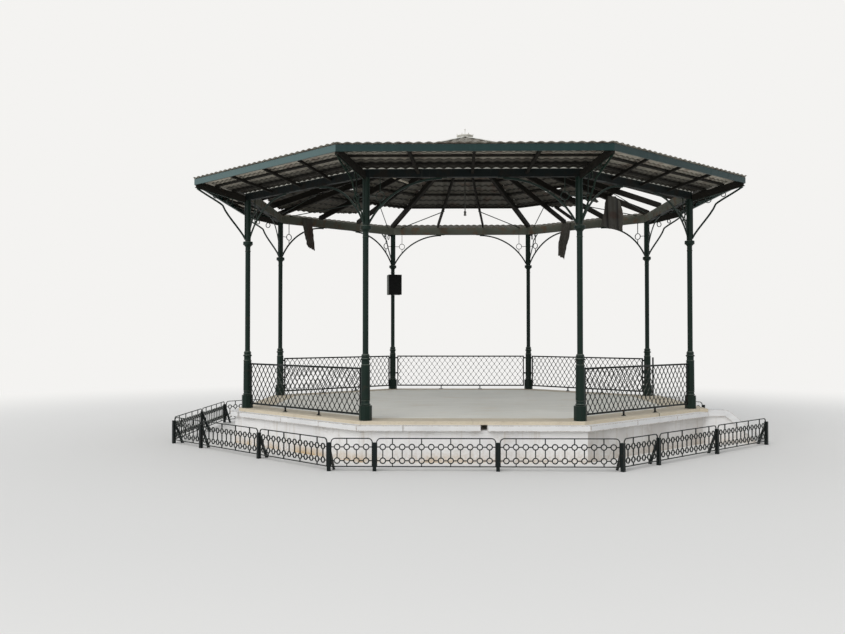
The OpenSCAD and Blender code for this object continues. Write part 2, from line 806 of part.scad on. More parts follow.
module railing_outline() {
    lattice_z = railing_foot + rail_bar;
    difference() {
        translate([-railing_half, railing_foot]) square([2 * railing_half, railing_h - railing_foot]);
        for (i = [0:columns_of_diamonds - 1], j = [0:diamond_rows - 1]) polygon(diamond_hole(
            -lattice_half + (i + 0.5) * diamond_pitch, lattice_z + (j + 0.5) * diamond_tall
        ));
        for (i = [1:columns_of_diamonds - 1], j = [1:diamond_rows - 1]) polygon(diamond_hole(
            -lattice_half + i * diamond_pitch, lattice_z + j * diamond_tall
        ));
    }
    for (x = [-foot_at, foot_at]) translate([x - 10, 0]) square([20, railing_foot + 1]);
    for (side = [0, 1], z = [railing_h - 60, foot_h + 120]) mirror([side, 0])
        translate([railing_half - 1, z]) square([lug_reach - railing_half + 1, 16]);
}

module railing(k) {
    color("#161c1b") at_side(k) translate([ring_apothem, 0, deck_z]) rotate([0, 0, 90]) {
        upright(lattice_t) railing_outline();
        translate([-railing_half, -hand_rail_w / 2, railing_h - rail_bar / 2])
            cube([2 * railing_half, hand_rail_w, rail_bar / 2]);
    }
}

module railing_rear_right() railing(side_rear_right);
module railing_rear() railing(side_rear);
module railing_rear_left() railing(side_rear_left);
module railing_front_left() railing(side_front_left);
module railing_front_right() railing(side_front_right);

// Low ring fence: corners in order, seen from above, anticlockwise from the front left one
// The end posts stand clear of the bands of the stair walls, and every corner turns by 45 degrees
fence_side_half = wall_apothem * side_tan + fence_stair_gap + fence_post_w / 2;
fence_x = fence_front_half + fence_y - fence_side_half;
fence_corners = [
    [-fence_front_half, -fence_y], [fence_front_half, -fence_y],
    [fence_x, -fence_side_half], [fence_x, fence_side_half],
    [fence_front_half, fence_y], [-fence_front_half, fence_y],
    [-fence_x, fence_side_half], [-fence_x, -fence_side_half]
];
post_reach = fence_post_w / 2;
corner_reach = fence_post_w / 2 * sqrt(2);
fence_corner_r = 55;
fence_corner_turn = 45;

function total(list, i = 0) = i == len(list) ? 0 : list[i] + total(list, i + 1);

module rounded_panel(length, bottom, top, r) {
    polygon(concat(
        [[0, bottom], [length, bottom]],
        arc([length - r, top - r], r, 0, 90, 5),
        arc([r, top - r], r, 90, 180, 5)
    ));
}

// Panel with a number of ring pairs, drawn from x = 0 with y up
module ring_panel(length, rings) {
    margin = (length - rings * ring_pitch) / 2;
    ring_hi = ring_low + ring_rows;
    ring_r = ring_d / 2;
    difference() {
        rounded_panel(length, fence_lift, fence_h, fence_corner_r);
        translate([fence_bar, 0]) rounded_panel(
            length - 2 * fence_bar, fence_lift + fence_bar, fence_h - fence_bar, fence_corner_r - fence_bar
        );
    }
    for (z = [ring_low, ring_hi]) {
        for (i = [0:rings]) {
            from = i == 0 ? fence_bar / 2 : margin + (i - 0.5) * ring_pitch + ring_r - ring_band / 2;
            to = i == rings ? length - fence_bar / 2 : margin + (i + 0.5) * ring_pitch - ring_r + ring_band / 2;
            translate([from, z - fence_bar / 2]) square([to - from, fence_bar]);
        }
        for (i = [0:rings - 1]) flat_ring([margin + (i + 0.5) * ring_pitch, z], ring_d, ring_band);
    }
    for (i = [0:rings - 1]) {
        x = margin + (i + 0.5) * ring_pitch - fence_bar / 2;
        translate([x, ring_low + ring_r - ring_band / 2]) square([fence_bar, ring_rows - ring_d + ring_band]);
        if (i % 3 == 1) {
            translate([x, ring_hi + ring_r - ring_band / 2])
                square([fence_bar, fence_h - fence_bar / 2 - ring_hi - ring_r + ring_band / 2]);
            translate([x, fence_lift + fence_bar / 2])
                square([fence_bar, ring_low - ring_r + ring_band / 2 - fence_lift - fence_bar / 2]);
        }
    }
}

module fence_post(strut_turn) {
    translate([-fence_post_w / 2, -fence_post_w / 2, 0]) cube([fence_post_w, fence_post_w, fence_post_h]);
    rotate([0, 0, 90 + strut_turn]) upright(fence_bar) polygon([
        [post_reach - 1, fence_post_h - 40], [post_reach + 10, fence_post_h - 40],
        [strut_reach, 0], [strut_reach - 45, 0], [post_reach - 1, fence_post_h - 110]
    ]);
}

// One side of the fence with its panels, from one corner to the next
// The strut of a corner post halves its corner, and the other struts stand square to the side
module fence_side(from, to, panels, end_post, starts_at_corner = true) {
    run = to - from;
    length = norm(run);
    end_gap = end_post ? post_reach : corner_reach + seat;
    count = len(panels);
    spare = (length - post_reach - end_gap - (count - 1) * fence_post_w - total(panels) * ring_pitch) / count;
    starts = [
        for (i = [0:count - 1])
            post_reach + i * (fence_post_w + spare) + total([for (j = [0:1:i - 1]) panels[j]]) * ring_pitch
    ];
    color("#12201f") translate([from[0], from[1], 0]) rotate([0, 0, atan2(run[1], run[0])]) {
        for (i = [0:count - 1]) {
            translate([starts[i] - post_reach, 0, 0])
                fence_post(i == 0 && starts_at_corner ? -fence_corner_turn / 2 : 0);
            translate([starts[i] - 1, 0, 0]) upright(fence_bar)
                ring_panel(panels[i] * ring_pitch + spare + 2 - (i == count - 1 && !end_post ? 1 : 0), panels[i]);
        }
        if (end_post) translate([length, 0, 0]) fence_post(0);
    }
}

module fence_front() fence_side(fence_corners[0], fence_corners[1], [4, 12, 12], false);
module fence_front_right() fence_side(fence_corners[1], fence_corners[2], [6, 12, 12], true);
module fence_rear_right() fence_side(fence_corners[3], fence_corners[4], [12, 12, 6], false, false);
module fence_rear() fence_side(fence_corners[4], fence_corners[5], [12, 12, 4], false);
module fence_rear_left() fence_side(fence_corners[5], fence_corners[6], [12, 12, 6], false);
module fence_left() fence_side(fence_corners[6], fence_corners[7], [12, 12], false);
module fence_front_left() fence_side(fence_corners[7], fence_corners[0], [6, 12, 12], false);

// Loudspeaker cabinet on the rear left column, facing the front
clamp_d = 40;

module loudspeaker() {
    angle = half_turn + col_rear_left * side_turn;
    centre = column_ring_r * [cos(angle), sin(angle)];
    color("#20211f") difference() {
        translate([centre[0], centre[1], deck_z + speaker_z]) {
            translate([-speaker_w / 2, -shaft_d / 2 - clamp_d / 2 - speaker_d, 0])
                cube([speaker_w, speaker_d, speaker_h]);
            for (z = [60, speaker_h - 100]) translate([-clamp_d, -shaft_d / 2 - clamp_d / 2 - 1, z])
                cube([2 * clamp_d, clamp_d, 40]);
        }
        translate([centre[0], centre[1], deck_z]) cylinder(d = shaft_d + 2 * seat, h = column_h);
    }
}

module lamp_rod() {
    top = rafter_bottom(crown_r) + crown_lift;
    holder_d = 46;
    holder_h = 90;
    color("#3a3833") translate([0, 0, deck_z + lamp_z]) {
        cylinder(d = lamp_rod_d, h = top - deck_z - lamp_z);
        cylinder(d = holder_d, h = holder_h);
    }
}

// Torn sheets that hang flat against the ring beam and the side of a hip
module torn_sheet(length, top_w, foot) {
    upright(sheet_t) polygon([
        [-foot / 2, -length], [foot / 2, -length], [top_w / 2, 0], [-top_w / 2, 0]
    ]);
}

module beam_strip(side, along, length, foot) {
    at_side(side) translate([beam_in - seat - sheet_t / 2, along, beam_top]) rotate([0, 0, 90])
        torn_sheet(length, strip_top_w, foot);
}

module loose_sheets() {
    hip_sheet_z = rafter_top(hip_sheet_at * side_cos) - hip_drop;
    color("#6e7468") {
        beam_strip(side_rear_right, right_strip_at, right_strip_length, right_strip_foot);
        beam_strip(side_rear_left, left_strip_at, left_strip_length, left_strip_foot);
        rotate([0, 0, half_turn + col_right_rear * side_turn])
            translate([hip_sheet_at, -hip_w / 2 - seat - sheet_t / 2, hip_sheet_z])
                torn_sheet(hip_sheet_length, hip_sheet_top_w, hip_sheet_foot);
    }
}

plinth_wall();
plinth_coping();
deck_slab();
deck_border();
stair_step_lower();
stair_step_upper();
stair_flanks();
stair_flank_bands();
column_right_rear();
column_rear_right();
column_rear_left();
column_left_rear();
column_left_front();
column_front_left();
column_front_right();
column_right_front();
bracket_right_rear();
bracket_rear_right();
bracket_rear_left();
bracket_left_rear();
bracket_left_front();
bracket_front_left();
bracket_front_right();
bracket_right_front();
ring_beam();
roof_hips();
roof_rafters();
roof_braces();
roof_purlins();
roof_crown();
roof_sheets();
hip_cappings();
roof_cap();
canopy_rafters();
canopy_hips();
canopy_battens();
canopy_sheets();
canopy_fascia();
railing_rear_right();
railing_rear();
railing_rear_left();
railing_front_left();
railing_front_right();
fence_front();
fence_front_right();
fence_rear_right();
fence_rear();
fence_rear_left();
fence_left();
fence_front_left();
loudspeaker();
lamp_rod();
loose_sheets();
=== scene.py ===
"""Bandstand: finishes, tile-effect roof sheets, fittings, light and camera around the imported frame.

Metres, the origin on the ground at the centre of the plinth, +X to the stair, +Y to the rear.
"""
import json
import math

import bmesh
import bpy
from mathutils import Matrix, Vector, noise


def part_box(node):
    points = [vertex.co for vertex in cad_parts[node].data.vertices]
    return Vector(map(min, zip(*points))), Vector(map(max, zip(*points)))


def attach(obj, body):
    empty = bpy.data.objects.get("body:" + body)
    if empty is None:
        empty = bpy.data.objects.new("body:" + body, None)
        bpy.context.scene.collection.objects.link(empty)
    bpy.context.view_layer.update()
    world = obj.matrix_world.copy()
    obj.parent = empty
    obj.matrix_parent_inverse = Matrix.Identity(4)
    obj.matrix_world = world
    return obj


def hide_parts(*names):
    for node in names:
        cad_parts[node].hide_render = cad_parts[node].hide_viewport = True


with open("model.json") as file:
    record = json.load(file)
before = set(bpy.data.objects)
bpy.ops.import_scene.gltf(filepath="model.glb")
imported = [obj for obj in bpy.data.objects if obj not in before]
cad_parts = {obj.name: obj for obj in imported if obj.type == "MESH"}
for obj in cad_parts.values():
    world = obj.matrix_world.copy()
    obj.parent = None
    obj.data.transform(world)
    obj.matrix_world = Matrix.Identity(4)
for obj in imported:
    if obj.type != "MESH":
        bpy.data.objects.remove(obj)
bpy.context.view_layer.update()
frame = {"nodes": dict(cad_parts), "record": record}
BODY = "root"

# Plan of the octagon: eight sides, counted anticlockwise from the stair side
SIDE_NAMES = ("right", "rear_right", "rear", "rear_left", "left", "front_left", "front", "front_right")
SIDE_TURN = 2 * math.pi / len(SIDE_NAMES)
SIDE_TAN = math.tan(SIDE_TURN / 2)

# Measures of the frame that the pieces meet
BEAM_WIDTH = 0.080
HIP_WIDTH = 0.060
CANOPY_GAP = 0.012
SPEAKER_DEPTH = 0.230
CLAMP_RADIUS = 0.0395

# Distances from the centre at which a course of the inner roof ends, from the eave to the cap
ROOF_COURSES = (2.60, 2.40, 2.20, 2.00, 1.80, 1.60, 1.40, 1.20, 1.00, 0.80, 0.60, 0.40, 0.10)
ROOF_COURSE = 0.20
# The same for the canopy, from the ring beam outwards
CANOPY_COURSES = (3.49, 3.59, 3.69, 3.79, 3.89, 3.99, 4.09)
CANOPY_COURSE = 0.10

# Sockets of the Mix node that carry colours
MIX_FIRST = 6
MIX_SECOND = 7
MIX_RESULT = 2
# Likeness of two directions, 1 for the same and -1 for opposite, where a mask starts and where it is full
ARRIS_LIKENESS = (0.98, 0.8)
INWARD_LIKENESS = (-0.2, -0.8)


# Nodes of the materials

def linear(code):
    """An sRGB hex colour as linear RGBA."""
    channels = [int(code[i:i + 2], 16) / 255 for i in (1, 3, 5)]
    return [c / 12.92 if c <= 0.04045 else ((c + 0.055) / 1.055) ** 2.4 for c in channels] + [1.0]


def add_node(tree, kind, inputs=None, **settings):
    """Adds a node; inputs maps a socket's name or number to a value or to another node's output."""
    node = tree.nodes.new(kind)
    for name, value in settings.items():
        setattr(node, name, value)
    for key, value in (inputs or {}).items():
        socket = node.inputs[key]
        if isinstance(value, bpy.types.NodeSocket):
            tree.links.new(value, socket)
        else:
            socket.default_value = value
    return node


def start_material(name):
    """A new material, its empty node tree, and the place on the object in metres."""
    material = bpy.data.materials.new(name)
    material.use_nodes = True
    tree = material.node_tree
    tree.nodes.clear()
    return material, tree, add_node(tree, "ShaderNodeTexCoord").outputs["Object"]


def patches(tree, place, size_mm, start, end, stretch=(1, 1, 1), detail=5.0):
    """Irregular patches of about size_mm: 0 where the noise is below start, 1 where it is above end."""
    mapped = add_node(tree, "ShaderNodeMapping", {"Vector": place, "Scale": stretch}).outputs[0]
    clouded = add_node(tree, "ShaderNodeTexNoise", {
        "Vector": mapped, "Scale": 1000 / size_mm, "Detail": detail, "Roughness": 0.6, "Lacunarity": 2.0})
    return add_node(tree, "ShaderNodeMapRange", {
        "Value": clouded.outputs["Fac"], "From Min": start, "From Max": end},
        interpolation_type="SMOOTHSTEP").outputs[0]


def fade(tree, place, axis, full, none, least=0.0):
    """1 at the place full on an axis, and least at the place none."""
    part = add_node(tree, "ShaderNodeSeparateXYZ", {"Vector": place}).outputs[axis]
    return add_node(tree, "ShaderNodeMapRange", {
        "Value": part, "From Min": none, "From Max": full, "To Min": least}).outputs[0]


def height_fade(tree, place, full, none):
    """1 at the height full and 0 at the height none, in metres above the ground."""
    return fade(tree, place, "Z", full, none)


def facing(tree, axis, start, end):
    """0 where the surface's normal along an axis is start, 1 where it is end."""
    normal = add_node(tree, "ShaderNodeTexCoord").outputs["Normal"]
    part = add_node(tree, "ShaderNodeSeparateXYZ", {"Vector": normal}).outputs[axis]
    return add_node(tree, "ShaderNodeMapRange", {
        "Value": part, "From Min": start, "From Max": end}).outputs[0]


def on_plan(tree, place):
    """The place with its height taken out."""
    return add_node(tree, "ShaderNodeVectorMath", {0: place, 1: (1, 1, 0)}, operation="MULTIPLY").outputs[0]


def facing_in(tree, place):
    """1 on faces that look towards the middle of the bandstand, 0 on the others."""
    start, full = INWARD_LIKENESS
    outward = add_node(tree, "ShaderNodeVectorMath", {0: on_plan(tree, place)},
                       operation="NORMALIZE").outputs[0]
    normal = add_node(tree, "ShaderNodeTexCoord").outputs["Normal"]
    along = add_node(tree, "ShaderNodeVectorMath", {0: normal, 1: outward}, operation="DOT_PRODUCT")
    return add_node(tree, "ShaderNodeMapRange", {
        "Value": along.outputs["Value"], "From Min": start, "From Max": full}).outputs[0]


def side_distance(tree, place):
    """Distance from the centre, measured square to the nearest of the eight sides."""
    flat = on_plan(tree, place)
    parts = add_node(tree, "ShaderNodeSeparateXYZ", {"Vector": flat})
    bearing = add_node(tree, "ShaderNodeMath", {0: parts.outputs["Y"], 1: parts.outputs["X"]},
                       operation="ARCTAN2").outputs[0]
    swing = add_node(tree, "ShaderNodeMath", {0: bearing, 1: SIDE_TURN / 2, 2: -SIDE_TURN / 2},
                     operation="WRAP").outputs[0]
    slant = add_node(tree, "ShaderNodeMath", {0: swing}, operation="COSINE").outputs[0]
    reach = add_node(tree, "ShaderNodeVectorMath", {0: flat}, operation="LENGTH").outputs["Value"]
    return add_node(tree, "ShaderNodeMath", {0: reach, 1: slant}, operation="MULTIPLY").outputs[0]


def off_centre(tree, place, none, full):
    """0 at the distance none from the centre and 1 at full, measured square to the nearest side."""
    return add_node(tree, "ShaderNodeMapRange", {
        "Value": side_distance(tree, place), "From Min": none, "From Max": full}).outputs[0]


def laps(tree, place, first, pitch, width):
    """1 just inside a course's end at first and every pitch from it, fading out over the width."""
    along = add_node(tree, "ShaderNodeMath", {0: side_distance(tree, place), 1: first, 2: first - pitch},
                     operation="WRAP").outputs[0]
    return add_node(tree, "ShaderNodeMapRange", {
        "Value": along, "From Min": first - width, "From Max": first - width / 3}).outputs[0]


def arris(tree, width_mm):
    """1 along sharp edges, over about width_mm on each side."""
    start, full = ARRIS_LIKENESS
    smooth = add_node(tree, "ShaderNodeBevel", {"Radius": width_mm / 1000}, samples=6).outputs[0]
    flat = add_node(tree, "ShaderNodeNewGeometry").outputs["True Normal"]
    likeness = add_node(tree, "ShaderNodeVectorMath", {0: smooth, 1: flat}, operation="DOT_PRODUCT")
    return add_node(tree, "ShaderNodeMapRange", {
        "Value": likeness.outputs["Value"], "From Min": start, "From Max": full}).outputs[0]


def combine(tree, operation, first, second):
    """Two masks joined by a math operation, kept between 0 and 1."""
    return add_node(tree, "ShaderNodeMath", {0: first, 1: second},
                    operation=operation, use_clamp=True).outputs[0]


def meet(tree, first, *others):
    """The masks multiplied with each other: 1 only where all of them are 1."""
    for other in others:
        first = combine(tree, "MULTIPLY", first, other)
    return first


def coats(tree, base, layers):
    """A base colour with layers of (mask, amount, colour) over it, the last on top."""
    colour = linear(base)
    for mask, amount, code in layers:
        inputs = {0: meet(tree, mask, amount), MIX_FIRST: colour, MIX_SECOND: linear(code)}
        colour = add_node(tree, "ShaderNodeMix", inputs, data_type="RGBA").outputs[MIX_RESULT]
    return colour


def relief(tree, heights):
    """Bumps from (mask, depth in mm) pairs, one over the other."""
    normal = None
    for mask, depth_mm in heights:
        inputs = {"Height": mask, "Distance": depth_mm / 1000, "Strength": 1.0}
        if normal is not None:
            inputs["Normal"] = normal
        normal = add_node(tree, "ShaderNodeBump", inputs).outputs[0]
    return normal


def dress(tree, colour, roughness, bumps, **constants):
    """The surface shader: roughness is (mask, value at 0, value at 1), constants are the same all over."""
    mask, low, high = roughness
    rough = add_node(tree, "ShaderNodeMapRange", {"Value": mask, "To Min": low, "To Max": high}).outputs[0]
    inputs = {"Base Color": colour, "Roughness": rough, "Normal": relief(tree, bumps)}
    for name, value in constants.items():
        inputs[name.replace("_", " ")] = value
    shader = add_node(tree, "ShaderNodeBsdfPrincipled", inputs)
    add_node(tree, "ShaderNodeOutputMaterial", {"Surface": shader.outputs[0]})


# Places that the finishes follow: heights, or places along X or Y, where a mark is full and where it is gone

STAIN_HEIGHTS = (0.0, 0.13)
STAIN_LEFT_TO_RIGHT = (-1.6, 1.0)
STAIN_LEAST = 0.15
SPLASH_HEIGHTS = (0.02, 0.2)
# The one joint of the border that moss has filled, at the right front corner
MOSSY_JOINT_X = 2.703
MOSSY_JOINT_HALF = 0.012
MOSSY_JOINT_FRONT_TO_REAR = (-2.14, -2.08)
# Heights on the ring beam above which its face is pale: painted daylight, as if falling through the gap at
# the canopy sheets' ends
PAINTED_DAYLIGHT_HEIGHTS = (3.818, 3.814)
# Distances from the centre where a mark is gone and where it is full
CANOPY_STARTS = (3.38, 3.42)
# Painted shade under the canopy, full next to the ring beam
CANOPY_SHADE_NEAR_BEAM = (3.85, 3.62)
# Painted shade under the inner roof, full towards its eave
LOW_ROOF_SHADE = (1.2, 2.6)
# Width of the shade beside each lap of the sheets
ROOF_LAP = 0.070
CANOPY_LAP = 0.030


# Finishes: pattern sizes are real ones in millimetres, but grain, grit, texture and spangle, really
# 0.5 to 5 mm, are drawn 4 to 14 mm wide, because finer ones don't show in the render

def limewashed_render():
    """White limewash on lime render: chalky, grey where it is thin, ochre at the foot on the left, painted
    shade on the faces that look right.
    """
    material, tree, place = start_material("limewashed_render")
    clouds = patches(tree, place, 900, 0.35, 0.7)
    thin = patches(tree, place, 260, 0.56, 0.72, detail=8.0)
    runs = patches(tree, place, 60, 0.52, 0.75, stretch=(1, 1, 0.08))
    foot = meet(tree, height_fade(tree, place, *STAIN_HEIGHTS), patches(tree, place, 420, 0.42, 0.6),
                fade(tree, place, "X", *STAIN_LEFT_TO_RIGHT, STAIN_LEAST))
    # Painted shade: a grey brown coat, in patches, on the faces that look to the right (+X)
    shaded = meet(tree, facing(tree, "X", 0.3, 0.6), patches(tree, place, 700, 0.2, 0.6))
    splash = meet(tree, height_fade(tree, place, *SPLASH_HEIGHTS), patches(tree, place, 30, 0.3, 0.7))
    grain = patches(tree, place, 9, 0.3, 0.7, detail=3.0)
    colour = coats(tree, "#efedea", [
        (clouds, 0.5, "#dcdada"), (thin, 0.45, "#c3bdb4"), (runs, 0.35, "#b7a88f"),
        (shaded, 0.45, "#aaa196"), (splash, 0.5, "#b09b80"), (foot, 0.75, "#c09a55")])
    dress(tree, colour, (thin, 0.85, 0.95), [(clouds, 6), (thin, 1.5), (grain, 1)])
    return material


def painted_stone():
    """White masonry paint on cast stone: clean faces, brown chips along the arrises and joints."""
    material, tree, place = start_material("painted_stone")
    clouds = patches(tree, place, 500, 0.4, 0.7)
    chips = meet(tree, arris(tree, 14), patches(tree, place, 45, 0.44, 0.56, detail=8.0))
    film = meet(tree, arris(tree, 24), patches(tree, place, 120, 0.35, 0.6))
    specks = patches(tree, place, 40, 0.66, 0.72, detail=8.0)
    grain = patches(tree, place, 6, 0.3, 0.7, detail=3.0)
    colour = coats(tree, "#e9e8e6", [
        (clouds, 0.5, "#d3d2d1"), (film, 0.5, "#c9b8a2"), (specks, 0.6, "#a99b8a"), (chips, 0.85, "#8b6f58")])
    dress(tree, colour, (chips, 0.6, 0.95), [(chips, -5), (grain, 0.6)])
    return material


def stair_concrete():
    """Trowelled cement on the steps: grey, worn paler on the nosings, grit showing."""
    material, tree, place = start_material("stair_concrete")
    clouds = patches(tree, place, 380, 0.35, 0.7)
    worn = arris(tree, 30)
    grit = patches(tree, place, 7, 0.5, 0.7, detail=2.0)
    stains = patches(tree, place, 150, 0.58, 0.75)
    colour = coats(tree, "#b3aea3", [
        (clouds, 0.6, "#9d988c"), (stains, 0.5, "#857b6b"), (worn, 0.4, "#c6c1b6"), (grit, 0.25, "#857f73")])
    dress(tree, colour, (grit, 0.8, 0.95), [(clouds, 3), (grit, 0.8)])
    return material


def deck_concrete():
    """Floated concrete floor: grey green, broom lines along X, dark damp spots and sand in the dips."""
    material, tree, place = start_material("deck_concrete")
    clouds = patches(tree, place, 1300, 0.35, 0.65)
    broom = patches(tree, place, 130, 0.35, 0.7, stretch=(0.12, 1, 1), detail=8.0)
    sand = patches(tree, place, 520, 0.5, 0.75)
    spots = patches(tree, place, 90, 0.68, 0.74, detail=6.0)
    grain = patches(tree, place, 8, 0.3, 0.7, detail=3.0)
    colour = coats(tree, "#e6e4da", [
        (clouds, 0.5, "#d5d3c8"), (broom, 0.5, "#efece2"), (sand, 0.4, "#dbcfb9"), (spots, 0.5, "#96927f")])
    dress(tree, colour, (broom, 0.75, 0.9), [(broom, 1.5), (grain, 0.6)])
    return material


def border_limestone():
    """Sawn limestone slabs: warm beige, darker in the pores, sand along the edges, moss in one joint."""
    material, tree, place = start_material("border_limestone")
    clouds = patches(tree, place, 450, 0.35, 0.7)
    veins = patches(tree, place, 90, 0.5, 0.7, stretch=(1, 1, 3), detail=8.0)
    pores = patches(tree, place, 12, 0.58, 0.7, detail=3.0)
    edge = arris(tree, 16)
    moss = meet(tree, fade(tree, place, "X", MOSSY_JOINT_X, MOSSY_JOINT_X - MOSSY_JOINT_HALF),
                fade(tree, place, "X", MOSSY_JOINT_X, MOSSY_JOINT_X + MOSSY_JOINT_HALF),
                patches(tree, place, 50, 0.2, 0.4), fade(tree, place, "Y", *MOSSY_JOINT_FRONT_TO_REAR))
    colour = coats(tree, "#d3c7b0", [
        (clouds, 0.6, "#c6b9a2"), (veins, 0.35, "#b0a28c"), (pores, 0.3, "#8f826e"), (edge, 0.35, "#ded5c4"),
        (moss, 1.0, "#3d4022")])
    dress(tree, colour, (veins, 0.75, 0.9), [(clouds, 2), (pores, -1)])
    return material


def enamelled_cast_iron(name, base, shade, chip_size_mm, rust_amount):
    """Gloss oil paint brushed on cast iron: deep colour, soft shine, dust and painted highlight on the
    ledges, rust in chips.
    """
    material, tree, place = start_material(name)
    clouds = patches(tree, place, 240, 0.35, 0.7)
    chips = meet(tree, arris(tree, 6), patches(tree, place, chip_size_mm, 0.5, 0.62, detail=8.0))
    rust = meet(tree, patches(tree, place, 140, 0.6, 0.74), patches(tree, place, 18, 0.4, 0.6))
    # Dust, and painted highlight, on the upward ledges of the mouldings
    pale_tops = meet(tree, facing(tree, "Z", 0.3, 0.8), patches(tree, place, 60, 0.25, 0.6))
    grain = patches(tree, place, 14, 0.3, 0.7, detail=3.0)
    colour = coats(tree, base, [
        (clouds, 0.5, shade), (rust, rust_amount, "#4c3022"), (chips, rust_amount, "#5d4534"),
        (pale_tops, 0.55, "#959b8f")])
    dress(tree, colour, (combine(tree, "ADD", rust, pale_tops), 0.38, 0.8), [(chips, -0.5), (grain, 0.4)],
          IOR=1.5, Specular_IOR_Level=0.22)
    return material


def ring_beam_paint():
    """Old green oil paint on a steel channel, rusty inside: near black outside with painted shade, grey
    inside with painted light, a pale band of painted daylight at the top.
    """
    material, tree, place = start_material("beam_paint_lit_inside_shaded_outside")
    clouds = patches(tree, place, 300, 0.35, 0.7)
    inside = facing_in(tree, place)
    rust = patches(tree, place, 210, 0.48, 0.66, detail=8.0)
    runs = patches(tree, place, 50, 0.55, 0.75, stretch=(1, 1, 0.1))
    # Painted daylight: a pale band along the top of the beam
    painted_daylight = height_fade(tree, place, *PAINTED_DAYLIGHT_HEIGHTS)
    grain = patches(tree, place, 10, 0.3, 0.7, detail=3.0)
    # Painted light and shade: the near black base is painted shade on the outer faces, the grey coat on the
    # inner faces is painted light
    colour = coats(tree, "#0d1514", [
        (clouds, 0.4, "#141b1a"), (painted_daylight, 0.7, "#cfcdc2"), (inside, 0.97, "#54564c"),
        (runs, 0.3, "#3f3f37"), (rust, 0.15, "#4b382b"), (meet(tree, inside, rust), 0.6, "#5f4838")])
    dress(tree, colour, (rust, 0.6, 0.9), [(rust, 0.8), (grain, 0.4)], IOR=1.5, Specular_IOR_Level=0.15)
    return material


def weathered_timber():
    """Sawn roof timber, creosoted, its near black deepened with painted shade of the roof's underside: long
    grain, grey bloom, rust stains at the fixings.
    """
    material, tree, place = start_material("weathered_timber")
    fibre = patches(tree, place, 40, 0.35, 0.7, stretch=(1, 1, 4), detail=8.0)
    clouds = patches(tree, place, 300, 0.4, 0.7)
    stains = patches(tree, place, 90, 0.62, 0.75)
    # The near black base is partly creosote and partly painted shade
    colour = coats(tree, "#1f1d19", [
        (clouds, 0.5, "#2e2b25"), (fibre, 0.4, "#14120f"), (stains, 0.4, "#3a281d")])
    dress(tree, colour, (fibre, 0.75, 0.95), [(fibre, 1.2)], Specular_IOR_Level=0.15)
    return material


def bleached_timber():
    """A newer batten, never painted: pale grey straw, with dark grain."""
    material, tree, place = start_material("bleached_timber")
    fibre = patches(tree, place, 30, 0.35, 0.7, stretch=(1, 1, 5), detail=8.0)
    clouds = patches(tree, place, 200, 0.4, 0.7)
    colour = coats(tree, "#d9d2c2", [(clouds, 0.4, "#b9b09d"), (fibre, 0.4, "#978d7a")])
    dress(tree, colour, (fibre, 0.7, 0.9), [(fibre, 0.8)])
    return material


def roof_sheet_steel():
    """Pressed steel roofing: dusty outside, leaf litter on the canopy, painted lap shadows and painted shade
    below.
    """
    material, tree, place = start_material("pressed_roof_steel")
    outside = facing(tree, "Z", 0.3, 0.7)
    clouds = patches(tree, place, 420, 0.35, 0.7)
    rust = patches(tree, place, 330, 0.52, 0.66, detail=8.0)
    runs = patches(tree, place, 70, 0.5, 0.75, stretch=(1, 1, 0.3))
    canopy = off_centre(tree, place, *CANOPY_STARTS)
    under = meet(tree, canopy, facing(tree, "Z", -0.2, -0.5))
    # Painted shade: the canopy's underside darkens towards the ring beam
    canopy_painted_shade = meet(tree, canopy, off_centre(tree, place, *CANOPY_SHADE_NEAR_BEAM))
    # Painted shade: the inner roof darkens towards its eave
    low_roof_painted_shade = combine(tree, "SUBTRACT", off_centre(tree, place, *LOW_ROOF_SHADE), canopy)
    # Painted shadows: dark bands just inside each lap, where the risers would throw shade
    roof_lap_shadows = combine(tree, "SUBTRACT", laps(tree, place, ROOF_COURSES[2], ROOF_COURSE, ROOF_LAP), canopy)
    canopy_lap_shadows = meet(tree, laps(tree, place, CANOPY_COURSES[1], CANOPY_COURSE, CANOPY_LAP), canopy)
    lichen = meet(tree, outside, patches(tree, place, 120, 0.5, 0.7, detail=8.0))
    grain = patches(tree, place, 12, 0.3, 0.7, detail=3.0)
    colour = coats(tree, "#65625a", [
        (under, 0.85, "#bfb9ab"), (clouds, 0.35, "#716d63"), (runs, 0.3, "#4a463d"), (rust, 0.45, "#66463d"),
        (roof_lap_shadows, 0.8, "#191713"), (canopy_lap_shadows, 0.6, "#2a2721"), (canopy_painted_shade, 0.9, "#1c1b17"),
        (low_roof_painted_shade, 0.5, "#171613"), (outside, 0.85, "#a9a498"), (lichen, 0.5, "#7d7766"),
        (meet(tree, outside, canopy), 0.85, "#4c483c")])
    dress(tree, colour, (rust, 0.6, 0.9), [(clouds, 1.0), (grain, 0.3)], Specular_IOR_Level=0.2)
    return material


def pale_capping_paint():
    """White painted folded steel on the hips: chalked, rust along the folds."""
    material, tree, place = start_material("chalked_capping_paint")
    clouds = patches(tree, place, 200, 0.4, 0.7)
    rust = meet(tree, arris(tree, 8), patches(tree, place, 40, 0.5, 0.65))
    grain = patches(tree, place, 10, 0.3, 0.7, detail=3.0)
    colour = coats(tree, "#e6e4dc", [(clouds, 0.6, "#c2beb2"), (rust, 0.7, "#7a5e48")])
    dress(tree, colour, (clouds, 0.55, 0.8), [(grain, 0.4)])
    return material


